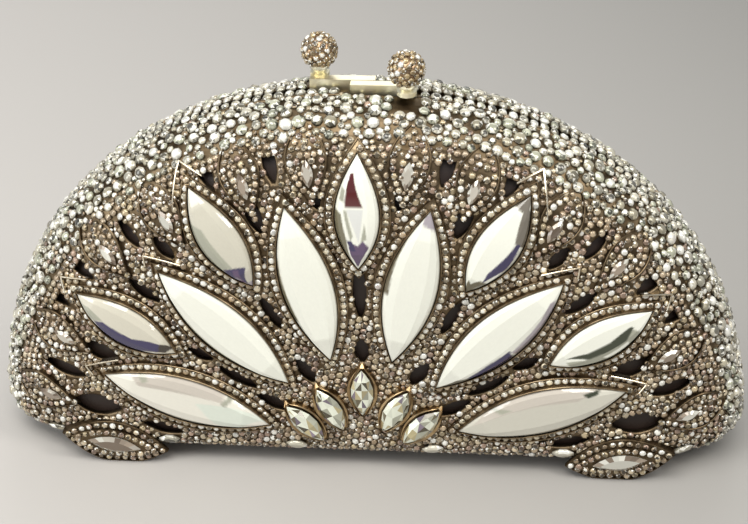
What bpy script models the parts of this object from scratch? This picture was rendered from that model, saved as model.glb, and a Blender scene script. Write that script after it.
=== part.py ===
# A half-moon evening clutch with a hard shell, in metres, +Z up, its front facing -Y.
# Two openwork domes on frames are hinged along the bottom and closed by a ball clasp.
# Each dome carries a fan of marquise crystals in settings that follow its curve.
# The front and the back half are the same design, turned about the upright axis.
import math

import bmesh
import bpy
import numpy as np
from mathutils import Matrix, Vector

# Driving sizes of one dome
HALF_WIDTH = 0.1027
SHELL_HEIGHT = 0.1018
DOME_RISE = 0.0227
RIM_SETBACK = 0.0008
DOME_CENTRE_HEIGHT = 0.0140
SHELL_WALL = 0.0018
FOOT_DROP = 0.0026

# Clearances
SEAT_GAP = 0.0003
PARTING_GAP = 0.0003

# Frame, lining and hinge
FRAME_INSET = 0.0026
FRAME_WALL = 0.0016
FRAME_DEPTH = 0.0030
LINING_WALL = 0.0008
KNUCKLE_RADIUS = 0.0017
BORE_RADIUS = 0.0010
PIN_RADIUS = 0.0007
KNUCKLE_LENGTH = 0.0050
HINGE_LEAF_WALL = 0.0009
HINGE_SPACING = 0.0900
HINGE_REACH = 0.0028

# Petals: a setting's band round a faceted crystal
LARGE_LENGTH = 0.0465
LARGE_WIDTH = 0.0136
SMALL_LENGTH = 0.0296
SMALL_WIDTH = 0.0114
BAND_WIDTH = 0.0029
BAND_HEIGHT = 0.0007
BEZEL_WALL = 0.0006
BEZEL_HEIGHT = 0.0016
ROOT_DEPTH = 0.0008
CRYSTAL_LIFT = 0.0003
GIRDLE_HEIGHT = 0.0012
TABLE_HEIGHT = 0.0026

# Raised bed round the rim, in which rows of stones are set
GALLERY_HEIGHT = 0.0020

# Small ornament
BUD_LENGTH = 0.0148
BUD_WIDTH = 0.0062
BUD_GIRDLE = 0.0006
BUD_RISE = 0.0015
LEAF_LENGTH = 0.0190
LEAF_WIDTH = 0.0112
LEAF_HEIGHT = 0.0009
WINDOW_LENGTH = 0.0130
WINDOW_WIDTH = 0.0036
FOOT_LENGTH = 0.0300
FOOT_WIDTH = 0.0140
FOOT_RIM = 0.0010
FOOT_CROWN = 0.0010
FOOT_STONE_LENGTH = 0.0150
FOOT_STONE_WIDTH = 0.0050

# Ball clasp
BALL_RADIUS = 0.0051
CLASP_BAR_OVERLAP = 0.0031
CLASP_REACH = 0.0028
CLASP_ARM_WIDTH = 0.0044
CLASP_ARM_WALL = 0.0014
CLASP_POST_RADIUS = 0.0026
CLASP_NECK_RADIUS = 0.0018
CLASP_RISE = 0.0012
BALL_SETBACK = 0.0052
BALL_OFFSET = 0.0117

# Chain lugs inside the back frame
LUG_RADIUS = 0.0024
LUG_WIRE = 0.0007
LUG_HEIGHT = 0.0300

# Overrun of a cutter past the wall that it cuts
CUT_OVERRUN = 0.0020

# Shape of the outline and the dome, without a unit
SIDE_POWER = 2.11
CORNER_POWER = 4.0
DOME_POWER = 8.0
TIP_REACH_SHARE = 1.15
LEAF_SKEW_POWER = 1.45
SLOPE_STEP_SHARE = 0.0005
RIM_LIMIT_SHARE = 0.99995
GALLERY_SHARES = (
    (0.932, 0.40),
    (0.960, 0.65),
    (0.983, 0.85),
    (0.995, 1.00),
    (0.9990, 1.00),
    (0.9998, 0.60),
)
RING_SHARES = (0.55, 0.75, 0.86, 0.92, 0.96, 0.983, 0.995, 1.0)
OUTLINE_STEPS = 36
LEAF_STEPS = 6
KNUCKLE_SIDES = 10
KNUCKLE_COUNT = 5
LUG_STEPS = 6
WINDOW_STEPS = 3
LEAF_STATIONS = 4
FOOT_STONE_STEPS = 5
BALL_SEGMENTS = 14
BALL_RINGS = 9
REACH_STEPS = 1440
HALVING_STEPS = 40
GEM_TABLE_SHARE = 0.56
GEM_BACK_SHARE = 0.9
LEAF_TOP_SHARE = 0.8
FOOT_CROWN_SHARES = (0.8, 0.74)
FOOT_TABLE_SHARES = (0.7, 0.5)
WELD_SHARE = 0.01

# Petals as centre (share of half width, share of shell height), lean in degrees, large or small
PETAL_PLACE_SHARES = (
    (-0.468, 0.194, 161.9, True),
    (-0.612, 0.421, 149.2, False),
    (-0.3535, 0.426, 134.6, True),
    (-0.347, 0.689, 121.7, False),
    (-0.131, 0.5645, 102.9, True),
    (0.0, 0.770, 90.0, False),
    (0.131, 0.5645, 77.1, True),
    (0.347, 0.689, 58.3, False),
    (0.3535, 0.426, 45.4, True),
    (0.612, 0.421, 30.8, False),
    (0.468, 0.194, 18.1, True),
)
# Buds at the foot of the fan, on one side and the middle
BUD_PLACE_SHARES = ((0.0, 0.239, 90.0), (0.086, 0.180, 62.0), (0.154, 0.132, 48.0))
# Leaves along the rim: centre and lean
LEAF_PLACE_SHARES = (
    (0.125, 0.878, 81.0),
    (0.289, 0.838, 70.0),
    (0.492, 0.732, 55.5),
    (0.655, 0.622, 43.0),
    (0.797, 0.362, 24.0),
    (0.858, 0.170, 11.0),
)
# Openings of the lattice: centre, lean, share of the window's length and of its width
WINDOW_PLACE_SHARES = (
    (0.0, 0.545, 90.0, 1.30, 0.80),
    (0.0, 0.360, 90.0, 0.60, 0.90),
    (0.112, 0.815, 70.0, 0.60, 0.80),
    (0.149, 0.292, 60.0, 0.70, 0.90),
    (0.222, 0.888, 75.0, 0.80, 0.80),
    (0.232, 0.470, 62.0, 0.90, 0.70),
    (0.240, 0.185, 30.0, 0.80, 0.85),
    (0.262, 0.752, 68.0, 0.80, 0.90),
    (0.330, 0.262, 32.0, 1.00, 0.75),
    (0.392, 0.860, 60.0, 0.90, 0.90),
    (0.425, 0.335, 30.0, 0.60, 0.80),
    (0.500, 0.650, 48.0, 0.60, 0.80),
    (0.545, 0.085, 15.0, 0.90, 0.80),
    (0.560, 0.522, 38.0, 0.80, 0.80),
    (0.590, 0.674, 45.0, 0.70, 0.70),
    (0.697, 0.326, 24.0, 0.90, 1.10),
    (0.722, 0.150, 5.0, 1.10, 1.50),
    (0.740, 0.565, 33.0, 0.80, 0.90),
    (0.804, 0.256, 15.0, 1.00, 0.90),
    (0.812, 0.470, 30.0, 0.70, 0.80),
)
FOOT_PLACE_SHARES = (0.680, 0.038, 10.0)
FOOT_SEAT_SHARE = 0.040

# Derived places
FRAME_BOTTOM = FOOT_DROP + FRAME_INSET
FRAME_TOP = FOOT_DROP + SHELL_HEIGHT - FRAME_INSET
HINGE_HEIGHT = FRAME_BOTTOM - SEAT_GAP - KNUCKLE_RADIUS
SHELL_FRONT = RIM_SETBACK + DOME_RISE
HINGE_LENGTH = KNUCKLE_COUNT * (KNUCKLE_LENGTH + SEAT_GAP) - SEAT_GAP
ARM_FLOOR = FOOT_DROP + SHELL_HEIGHT + GALLERY_HEIGHT + SEAT_GAP


# The dome

def outline_value(x, z):
    """1 on the outline of the shell, less inside it; z is measured from the shell's bottom."""
    side = (abs(x) / HALF_WIDTH) ** SIDE_POWER + (max(z, 0.0) / SHELL_HEIGHT) ** SIDE_POWER
    low = max(DOME_CENTRE_HEIGHT - z, 0.0) / DOME_CENTRE_HEIGHT
    return side ** CORNER_POWER + low ** CORNER_POWER


def outline_reach(angle):
    """Distance from the dome's centre to the outline in one direction."""
    near, far = 0.0, HALF_WIDTH + SHELL_HEIGHT
    for _ in range(HALVING_STEPS):
        middle = (near + far) / 2
        x = middle * math.cos(angle)
        z = DOME_CENTRE_HEIGHT + middle * math.sin(angle)
        if outline_value(x, z) < 1:
            near = middle
        else:
            far = middle
    return near


REACH_ANGLES = np.linspace(-math.pi, math.pi, REACH_STEPS + 1)
REACHES = np.array([outline_reach(angle) for angle in REACH_ANGLES])


def rim_share(x, z):
    """How far out a point lies: 0 at the dome's centre, 1 on the outline."""
    up = z - DOME_CENTRE_HEIGHT
    return math.hypot(x, up) / float(np.interp(math.atan2(up, x), REACH_ANGLES, REACHES))


def dome_depth(x, z):
    share = min(rim_share(x, z), RIM_LIMIT_SHARE)
    return RIM_SETBACK + DOME_RISE * math.sqrt(1 - share ** DOME_POWER)


def on_dome(x, z, height):
    """Point at a height above the front dome, over the place (x, z) of its face."""
    step = SLOPE_STEP_SHARE * HALF_WIDTH
    slope_x = (dome_depth(x + step, z) - dome_depth(x - step, z)) / (2 * step)
    slope_z = (dome_depth(x, z + step) - dome_depth(x, z - step)) / (2 * step)
    normal = Vector((-slope_x, -1, -slope_z)).normalized()
    return Vector((x, -dome_depth(x, z), z + FOOT_DROP)) + normal * height


def outline_stations(count):
    """Points of the outline with unit normals, closer together where it turns faster."""
    angles = np.linspace(-math.pi / 2, 1.5 * math.pi, REACH_STEPS, endpoint=False)
    reach = np.array([outline_reach(angle) for angle in angles])
    xs = reach * np.cos(angles)
    zs = DOME_CENTRE_HEIGHT + reach * np.sin(angles)
    dx = np.roll(xs, -1) - xs
    dz = np.roll(zs, -1) - zs
    length = np.hypot(dx, dz)
    heading = np.unwrap(np.arctan2(dz, dx))
    turn = np.abs(np.roll(heading, -1) - heading)
    turn[-1] = turn[-2]
    travel = np.concatenate(([0.0], np.cumsum(length / length.sum() + turn / turn.sum())))
    wanted = np.linspace(0.0, travel[-1], count, endpoint=False)
    at = np.interp(wanted, travel, np.arange(len(xs) + 1))
    loop_x = np.append(xs, xs[0])
    loop_z = np.append(zs, zs[0])
    steps = np.arange(len(loop_x))
    stations = []
    for place in at:
        x = float(np.interp(place, steps, loop_x))
        z = float(np.interp(place, steps, loop_z))
        index = int(place) % len(xs)
        normal = Vector((float(dz[index]), -float(dx[index]))).normalized()
        stations.append((x, z, normal))
    return stations


STATIONS = outline_stations(OUTLINE_STEPS)


def dome_ring(share, stations, height):
    """One ring of the dome, a smaller copy of the outline; the last ring is the rim."""
    points = []
    for x, z, normal in stations:
        ring_x = x * share
        ring_z = DOME_CENTRE_HEIGHT + (z - DOME_CENTRE_HEIGHT) * share
        if share < 1:
            points.append(on_dome(ring_x, ring_z, height))
        else:
            points.append(Vector((ring_x + normal.x * height, -RIM_SETBACK,
                                  ring_z + normal.y * height + FOOT_DROP)))
    return points


# Lofts

def loft(rings, closed=False, caps=True):
    """Vertices and faces of a loft through rings with the same number of points."""
    count = len(rings[0])
    verts = [point for ring in rings for point in ring]
    faces = []
    spans = len(rings) if closed else len(rings) - 1
    for index in range(spans):
        low = index * count
        high = ((index + 1) % len(rings)) * count
        for k in range(count):
            after = (k + 1) % count
            faces.append((low + k, low + after, high + after, high + k))
    if caps and not closed:
        faces.append(tuple(range(count)))
        faces.append(tuple(range(len(verts) - count, len(verts))))
    return verts, faces


def tipped_loft(rings, first, last):
    """A loft whose ends run to a point."""
    verts, faces = loft(rings, caps=False)
    count = len(rings[0])
    total = len(verts)
    verts = verts + [first, last]
    for k in range(count):
        after = (k + 1) % count
        faces.append((after, k, total))
        faces.append((total - count + k, total - count + after, total + 1))
    return verts, faces


def extrude_along_x(profile, start, end):
    rings = [[Vector((x, y, z)) for y, z in profile] for x in (start, end)]
    return loft(rings)


def box_geometry(low, high):
    profile = [(low[1], low[2]), (high[1], low[2]), (high[1], high[2]), (low[1], high[2])]
    return extrude_along_x(profile, low[0], high[0])


def merged(pieces):
    """One list of vertices and faces from several."""
    all_verts, all_faces = [], []
    for verts, faces in pieces:
        base = len(all_verts)
        all_verts.extend(verts)
        all_faces.extend(tuple(base + index for index in face) for face in faces)
    return all_verts, all_faces


# Marquise outlines on the dome's face

def leaf_width_share(share, skew):
    return 4 * share ** skew * (1 - share ** skew)


def leaf_axes(lean):
    along = Vector((math.cos(lean), math.sin(lean)))
    return along, Vector((-along.y, along.x))


def leaf_point(place, share, side, length, width, skew=1.0):
    """A point of a leaf: share runs along it, side runs across it from -1 to 1."""
    x, z, lean = place
    along, across = leaf_axes(lean)
    point = Vector((x, z)) + along * (share - 0.5) * length
    return point + across * side * leaf_width_share(share, skew) * width / 2


def leaf_loop(place, length, width, steps=LEAF_STEPS, skew=1.0):
    """Closed outline from tip to tip and back."""
    shares = [index / steps for index in range(steps + 1)]
    right = [leaf_point(place, share, -1, length, width, skew) for share in shares]
    left = [leaf_point(place, share, 1, length, width, skew) for share in reversed(shares[1:-1])]
    return right + left


def grown_loop(place, length, width, growth, steps=LEAF_STEPS):
    return leaf_loop(place, length + 2 * growth * TIP_REACH_SHARE, width + 2 * growth, steps)


def place_of(row):
    return row[0] * HALF_WIDTH, row[1] * SHELL_HEIGHT, math.radians(row[2])


def mirrored(rows):
    """Rows of one side, followed by their mirror images; a middle row stays single."""
    both = []
    for row in rows:
        both.append(row)
        if row[0] != 0:
            both.append((-row[0], row[1], 180 - row[2]) + tuple(row[3:]))
    return both


# Ornament that follows the dome

def setting(place, length, width):
    """Band and bezel round one crystal, rooted in the shell's wall and wrapped on the dome."""
    section = (
        (SEAT_GAP, -ROOT_DEPTH),
        (SEAT_GAP, BEZEL_HEIGHT),
        (BAND_WIDTH, BAND_HEIGHT),
        (BAND_WIDTH, -ROOT_DEPTH),
    )
    rings = []
    for growth, height in section:
        loop = grown_loop(place, length, width, growth)
        rings.append([on_dome(p.x, p.y, height) for p in loop])
    return loft(rings, closed=True)


def gem(place, length, width, foot, girdle, table):
    """A faceted marquise: flat back, girdle, sloping crown and table, wrapped on the dome."""
    section = ((-GEM_BACK_SHARE, foot), (0, foot), (GEM_BACK_SHARE, foot), (1, girdle),
               (GEM_TABLE_SHARE, table), (-GEM_TABLE_SHARE, table), (-1, girdle))
    rings = []
    for index in range(1, LEAF_STEPS):
        ring = []
        for side, height in section:
            point = leaf_point(place, index / LEAF_STEPS, side, length, width)
            ring.append(on_dome(point.x, point.y, height))
        rings.append(ring)
    tips = [leaf_point(place, share, 0, length, width) for share in (0, 1)]
    first, last = (on_dome(tip.x, tip.y, girdle) for tip in tips)
    return tipped_loft(rings, first, last)


def pave_leaf(place, length, width, height, skew=LEAF_SKEW_POWER):
    """A solid leaf with sloping sides, rooted in the shell's wall and wrapped on the dome."""
    section = ((-1, -ROOT_DEPTH), (1, -ROOT_DEPTH), (LEAF_TOP_SHARE, height),
               (-LEAF_TOP_SHARE, height))
    rings = []
    for index in range(LEAF_STATIONS):
        share = (index + 0.5) / LEAF_STATIONS
        ring = []
        for side, level in section:
            point = leaf_point(place, share, side, length, width, skew)
            ring.append(on_dome(point.x, point.y, level))
        rings.append(ring)
    tips = [leaf_point(place, share, 0, length, width, skew) for share in (0, 1)]
    first, last = (on_dome(tip.x, tip.y, -ROOT_DEPTH / 2) for tip in tips)
    return tipped_loft(rings, first, last)


def petal_size(large):
    return (LARGE_LENGTH, LARGE_WIDTH) if large else (SMALL_LENGTH, SMALL_WIDTH)


def petal_setting(row):
    length, width = petal_size(row[3])
    return setting(place_of(row), length, width)


def petal_crystal(row):
    length, width = petal_size(row[3])
    return gem(place_of(row), length, width, CRYSTAL_LIFT, GIRDLE_HEIGHT, TABLE_HEIGHT)


def bud_cup(row):
    growth = BEZEL_WALL
    return pave_leaf(place_of(row), BUD_LENGTH + 2 * growth, BUD_WIDTH + 2 * growth,
                     BAND_HEIGHT, skew=1.0)


def bud_crystal(row):
    foot = BAND_HEIGHT + SEAT_GAP
    return gem(place_of(row), BUD_LENGTH, BUD_WIDTH, foot, foot + BUD_GIRDLE, foot + BUD_RISE)


def rim_leaf(row):
    return pave_leaf(place_of(row), LEAF_LENGTH, LEAF_WIDTH, LEAF_HEIGHT)


# Feet: a leaf at each lower corner, its back cast to the shell's curve

def foot_front():
    """Distance of the foot's front rim from the parting plane."""
    x, z, _ = place_of(FOOT_PLACE_SHARES)
    return dome_depth(x, z + FOOT_WIDTH / 2) + 2 * SEAT_GAP + FOOT_RIM


def foot_point(plan, y):
    return Vector((plan.x, y, max(plan.y + FOOT_DROP, 0.0)))


def foot_place(side):
    x, z, lean = place_of(FOOT_PLACE_SHARES)
    return side * x, z, lean if side > 0 else math.pi - lean


def foot(side):
    """A leaf whose back lies on the shell's lower edge and whose lowest side is flat."""
    length_share, width_share = FOOT_CROWN_SHARES
    outer = leaf_loop(foot_place(side), FOOT_LENGTH, FOOT_WIDTH)
    inner = leaf_loop(foot_place(side), FOOT_LENGTH * length_share, FOOT_WIDTH * width_share)
    seat = FOOT_SEAT_SHARE * SHELL_HEIGHT
    front = -foot_front()
    back = []
    for point in outer:
        back.append(foot_point(point, -dome_depth(point.x, max(point.y, seat)) - 2 * SEAT_GAP))
    rim = [foot_point(p, front) for p in outer]
    crown = [foot_point(p, front - FOOT_CROWN) for p in inner]
    return loft([back, rim, crown])


def foot_stone(side):
    length_share, width_share = FOOT_TABLE_SHARES
    foot_y = -foot_front() - FOOT_CROWN - SEAT_GAP
    girdle = leaf_loop(foot_place(side), FOOT_STONE_LENGTH, FOOT_STONE_WIDTH, FOOT_STONE_STEPS)
    table = leaf_loop(foot_place(side), FOOT_STONE_LENGTH * length_share,
                      FOOT_STONE_WIDTH * width_share, FOOT_STONE_STEPS)
    low = [foot_point(p, foot_y) for p in girdle]
    high = [foot_point(p, foot_y - FOOT_RIM) for p in table]
    return loft([low, high])


# Objects

def clear_scene():
    for item in list(bpy.data.objects):
        bpy.data.objects.remove(item, do_unlink=True)


def new_collection(name):
    collection = bpy.data.collections.new(name)
    bpy.context.scene.collection.children.link(collection)
    return collection


def material(name, colour, roughness, metallic, transmission=0.0):
    mat = bpy.data.materials.new(name)
    mat.use_nodes = True
    shader = mat.node_tree.nodes["Principled BSDF"]
    shader.inputs["Base Color"].default_value = (*colour, 1.0)
    shader.inputs["Roughness"].default_value = roughness
    shader.inputs["Metallic"].default_value = metallic
    shader.inputs["Transmission Weight"].default_value = transmission
    return mat


clear_scene()
PARTS = new_collection("half_moon_clutch")
CUTTERS = new_collection("cutters")
GOLD = material("antique_gold", (0.62, 0.50, 0.36), 0.32, 1.0)
POLISHED = material("polished_gold", (0.80, 0.66, 0.42), 0.15, 1.0)
CRYSTAL = material("clear_crystal", (0.93, 0.93, 0.90), 0.04, 0.0, 0.6)
PAVE = material("pave_crystal", (0.55, 0.48, 0.42), 0.25, 0.6)
SATIN = material("lining_satin", (0.16, 0.11, 0.07), 0.55, 0.0)

PIVOT = bpy.data.objects.new("front_half_pivot", None)
PIVOT.location = (0.0, 0.0, HINGE_HEIGHT)
PARTS.objects.link(PIVOT)


def mesh_of(name, geometry, outward=True):
    verts, faces = geometry
    mesh = bpy.data.meshes.new(name)
    mesh.from_pydata([tuple(v) for v in verts], [], faces)
    if outward:
        shape = bmesh.new()
        shape.from_mesh(mesh)
        bmesh.ops.recalc_face_normals(shape, faces=shape.faces)
        shape.to_mesh(mesh)
        shape.free()
    mesh.validate()
    return mesh


def place_on_half(item, half):
    """Both halves share meshes: the back one is turned about Z, the front one hangs on its pivot."""
    if half == "back":
        item.rotation_euler = (0.0, 0.0, math.pi)
    else:
        item.parent = PIVOT
        item.location = -PIVOT.location


def add(name, mesh, mat, half, collection=None):
    item = bpy.data.objects.new(name, mesh)
    (collection or PARTS).objects.link(item)
    if not mesh.materials:
        mesh.materials.append(mat)
    place_on_half(item, half)
    return item


def boolean(item, operation, other):
    step = item.modifiers.new(operation.lower(), "BOOLEAN")
    step.operation = operation
    step.solver = "EXACT"
    step.object = other
    other.hide_render = True
    other.display_type = "WIRE"


def evaluated_mesh(item):
    """The mesh that an object shows, with its modifiers applied."""
    graph = bpy.context.evaluated_depsgraph_get()
    graph.update()
    return bpy.data.meshes.new_from_object(item.evaluated_get(graph))


def blank(name, mesh):
    """A construction object, kept with the cutters until its result is taken."""
    item = bpy.data.objects.new(name, mesh)
    CUTTERS.objects.link(item)
    return item


def union_of_all(item, geometries):
    """Joins many pieces to a construction object in one step; returns their collection."""
    group = bpy.data.collections.new("raised")
    CUTTERS.children.link(group)
    for geometry in geometries:
        group.objects.link(bpy.data.objects.new("raised", mesh_of("raised", geometry)))
    step = item.modifiers.new("union", "BOOLEAN")
    step.operation = "UNION"
    step.solver = "EXACT"
    step.operand_type = "COLLECTION"
    step.collection = group
    return group


def baked(item, tools):
    """The finished mesh of a construction object, which goes with its tools."""
    mesh = evaluated_mesh(item)
    for spare in [item] + tools:
        bpy.data.objects.remove(spare, do_unlink=True)
    return mesh


# Shell, frame and lining of one half

def dome_surface():
    """The open surface of the dome, flat in its middle."""
    rings = [dome_ring(share, STATIONS, 0.0) for share in reversed(RING_SHARES)]
    verts, faces = loft(rings, caps=False)
    faces.append(tuple(range(len(verts) - len(STATIONS), len(verts))))
    return mesh_of("dome", (verts, faces), outward=False)


def window_loop(place, length, width):
    """Outline of an opening: a leaf with blunt ends."""
    shares = [(index + 0.5) / WINDOW_STEPS for index in range(WINDOW_STEPS)]
    right = [leaf_point(place, share, -1, length, width) for share in shares]
    left = [leaf_point(place, share, 1, length, width) for share in reversed(shares)]
    return right + left


def windows():
    """Prisms that cut the openings of the lattice."""
    pieces = []
    for row in mirrored(WINDOW_PLACE_SHARES):
        loop = window_loop(place_of(row), row[3] * WINDOW_LENGTH, row[4] * WINDOW_WIDTH)
        ends = (-SHELL_FRONT - CUT_OVERRUN, -SHELL_WALL - RIM_SETBACK)
        pieces.append(loft([[Vector((p.x, y, p.y + FOOT_DROP)) for p in loop] for y in ends]))
    return merged(pieces)


def rim_pockets():
    """Boxes that cut room for the two hinges and the clasp's bar into the rim."""
    half_hinge = HINGE_LENGTH / 2 + SEAT_GAP
    low, high = FOOT_DROP - GALLERY_HEIGHT - CUT_OVERRUN, FRAME_BOTTOM
    boxes = []
    for side in (-1, 1):
        centre = side * HINGE_SPACING / 2
        boxes.append(box_geometry((centre - half_hinge, -HINGE_REACH - 2 * SEAT_GAP, low),
                                  (centre + half_hinge, 0.0, high)))
    boxes.append(box_geometry((-CLASP_BAR_OVERLAP - SEAT_GAP, -CLASP_REACH - 2 * SEAT_GAP, FRAME_TOP),
                              (BALL_OFFSET + CLASP_ARM_WIDTH / 2 + SEAT_GAP, 0.0,
                               ARM_FLOOR + CUT_OVERRUN)))
    return merged(boxes)


def gallery():
    """The raised bed of the rim's stones, rooted in the shell's wall."""
    section = [(share, level * GALLERY_HEIGHT) for share, level in GALLERY_SHARES]
    section += [(share, -ROOT_DEPTH) for share, _ in reversed(GALLERY_SHARES)]
    return loft([dome_ring(share, STATIONS, height) for share, height in section], closed=True)


def shell_mesh():
    """One casting: the domed wall, its openings, and the settings and leaves raised on it."""
    shell = blank("shell", dome_surface())
    wall = shell.modifiers.new("wall", "SOLIDIFY")
    wall.thickness = SHELL_WALL
    wall.offset = -1
    wall.use_even_offset = True
    raised = [gallery()]
    raised += [petal_setting(row) for row in PETAL_PLACE_SHARES]
    raised += [bud_cup(row) for row in mirrored(BUD_PLACE_SHARES)]
    raised += [rim_leaf(row) for row in mirrored(LEAF_PLACE_SHARES)]
    openings = blank("windows", mesh_of("windows", windows()))
    boolean(shell, "DIFFERENCE", openings)
    group = union_of_all(shell, raised)
    pockets = blank("rim_pockets", mesh_of("rim_pockets", rim_pockets()))
    boolean(shell, "DIFFERENCE", pockets)
    mesh = baked(shell, [openings, pockets] + list(group.objects))
    bpy.data.collections.remove(group)
    return mesh


def frame_mesh():
    """A band inside the shell's rim, from the parting plane back under the shell."""
    section = (
        (FRAME_INSET, PARTING_GAP / 2),
        (FRAME_INSET, FRAME_DEPTH),
        (FRAME_INSET + FRAME_WALL, FRAME_DEPTH),
        (FRAME_INSET + FRAME_WALL, PARTING_GAP / 2),
    )
    rings = []
    for inset, depth in section:
        rings.append([Vector((x - normal.x * inset, -depth, z - normal.y * inset + FOOT_DROP))
                      for x, z, normal in STATIONS])
    return mesh_of("frame", loft(rings, closed=True))


def lining_mesh():
    """A tray that follows the inside of the shell up to the frame."""
    stations = STATIONS[::2]
    lift = SHELL_WALL + SEAT_GAP
    outer = [dome_ring(share, stations, -lift) for share in reversed(RING_SHARES[:-1])]
    inner = [dome_ring(share, stations, -lift - LINING_WALL) for share in RING_SHARES[:-1]]
    verts, faces = loft(outer + inner, caps=False)
    count = len(stations)
    rim = len(verts) - count
    middle = (len(outer) - 1) * count
    spare = {tuple(face) for face in faces if min(face) >= middle and max(face) < middle + 2 * count}
    faces = [face for face in faces if face not in spare]
    faces.append(tuple(range(middle, middle + count)))
    faces.append(tuple(range(middle + count, middle + 2 * count)))
    for k in range(count):
        after = (k + 1) % count
        faces.append((k, after, rim + after, rim + k))
    return mesh_of("lining", (verts, faces))


# Hinges

def knuckle_profile(side):
    """Round knuckle with a tab tangent to its top, reaching out to the leaf."""
    top = HINGE_HEIGHT + KNUCKLE_RADIUS
    outer = HINGE_REACH
    points = []
    lowest = math.pi - math.asin(1 - HINGE_LEAF_WALL / KNUCKLE_RADIUS)
    for index in range(KNUCKLE_SIDES + 1):
        angle = math.pi / 2 + (lowest - math.pi / 2 - 2 * math.pi) * index / KNUCKLE_SIDES
        y = -side * KNUCKLE_RADIUS * math.cos(angle)
        points.append((y, HINGE_HEIGHT + KNUCKLE_RADIUS * math.sin(angle)))
    points.append((side * outer, top - HINGE_LEAF_WALL))
    points.append((side * outer, top))
    return points


def hinge_half(name, centre, side, owned, half):
    """One leaf with its knuckles; side is -1 for the front and 1 for the back."""
    pitch = KNUCKLE_LENGTH + SEAT_GAP
    start = centre - HINGE_LENGTH / 2
    end = centre + HINGE_LENGTH / 2
    top = HINGE_HEIGHT + KNUCKLE_RADIUS
    outer = HINGE_REACH
    inner = KNUCKLE_RADIUS + SEAT_GAP
    strip = [(side * inner, top - HINGE_LEAF_WALL), (side * inner, top),
             (side * outer, top), (side * outer, top - HINGE_LEAF_WALL)]
    body = mesh_of("strip", extrude_along_x(strip, start, end))
    leaf = blank("hinge_leaf", body)
    tools = []
    for k in owned:
        knuckle = extrude_along_x(knuckle_profile(side), start + k * pitch,
                                  start + k * pitch + KNUCKLE_LENGTH)
        tools.append(blank("knuckle", mesh_of("knuckle", knuckle)))
        boolean(leaf, "UNION", tools[-1])
    bore = extrude_along_x(pin_ring(BORE_RADIUS), start - CUT_OVERRUN, end + CUT_OVERRUN)
    tools.append(blank("bore", mesh_of("bore", bore)))
    boolean(leaf, "DIFFERENCE", tools[-1])
    item = bpy.data.objects.new(name, baked(leaf, tools))
    PARTS.objects.link(item)
    item.data.materials.append(GOLD)
    if half == "front":
        place_on_half(item, half)


def pin_ring(radius):
    """Points of a circle round the hinge axis."""
    turns = [2 * math.pi * k / KNUCKLE_SIDES for k in range(KNUCKLE_SIDES)]
    return [(radius * math.cos(turn), HINGE_HEIGHT + radius * math.sin(turn)) for turn in turns]


def hinge_pins():
    for side, name in ((-1, "left"), (1, "right")):
        centre = side * HINGE_SPACING / 2
        mesh = mesh_of("pin", extrude_along_x(pin_ring(PIN_RADIUS), centre - HINGE_LENGTH / 2,
                                              centre + HINGE_LENGTH / 2))
        item = bpy.data.objects.new("hinge_pin_" + name, mesh)
        mesh.materials.append(POLISHED)
        PARTS.objects.link(item)


# Ball clasp

def clasp_arm(half):
    """Bar on the frame's top, arm over the rim and a waisted post under the ball."""
    seat = FRAME_TOP + SEAT_GAP
    bar_top = ARM_FLOOR + CLASP_ARM_WALL
    ball_x, ball_y = BALL_OFFSET, -BALL_SETBACK
    bar = box_geometry((-CLASP_BAR_OVERLAP, -CLASP_REACH, seat),
                       (ball_x + CLASP_ARM_WIDTH / 2, -PARTING_GAP / 2, bar_top))
    arm = box_geometry((ball_x - CLASP_ARM_WIDTH / 2, ball_y, ARM_FLOOR),
                       (ball_x + CLASP_ARM_WIDTH / 2, -PARTING_GAP, bar_top))
    rings = []
    rise = CLASP_RISE
    floor = ARM_FLOOR + SEAT_GAP
    reach = math.sqrt(BALL_RADIUS ** 2 - CLASP_POST_RADIUS ** 2)
    centre = Vector((ball_x, ball_y, bar_top + rise + reach + SEAT_GAP))
    for radius, level in ((CLASP_POST_RADIUS, floor), (CLASP_POST_RADIUS, bar_top),
                          (CLASP_NECK_RADIUS, bar_top + rise / 2),
                          (CLASP_POST_RADIUS, bar_top + rise),
                          (CLASP_POST_RADIUS / 2, centre.z - BALL_RADIUS - SEAT_GAP)):
        ring = []
        for k in range(KNUCKLE_SIDES):
            angle = 2 * math.pi * (k + 0.5) / KNUCKLE_SIDES
            ring.append(Vector((ball_x + radius * math.cos(angle),
                                ball_y + radius * math.sin(angle), level)))
        rings.append(ring)
    body = blank("clasp", mesh_of("clasp", bar))
    tools = [blank("clasp_bridge", mesh_of("clasp_bridge", arm)),
             blank("clasp_post", mesh_of("clasp_post", loft(rings)))]
    for tool in tools:
        boolean(body, "UNION", tool)
    add(half + "_clasp_arm", baked(body, tools), POLISHED, half)
    ball = bmesh.new()
    bmesh.ops.create_uvsphere(ball, u_segments=BALL_SEGMENTS, v_segments=BALL_RINGS,
                              radius=BALL_RADIUS,
                              matrix=Matrix.Translation(centre))
    mesh = bpy.data.meshes.new("clasp_ball")
    ball.to_mesh(mesh)
    ball.free()
    mesh.shade_smooth()
    add(half + "_clasp_ball", mesh, PAVE, half)


# Chain lugs

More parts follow.
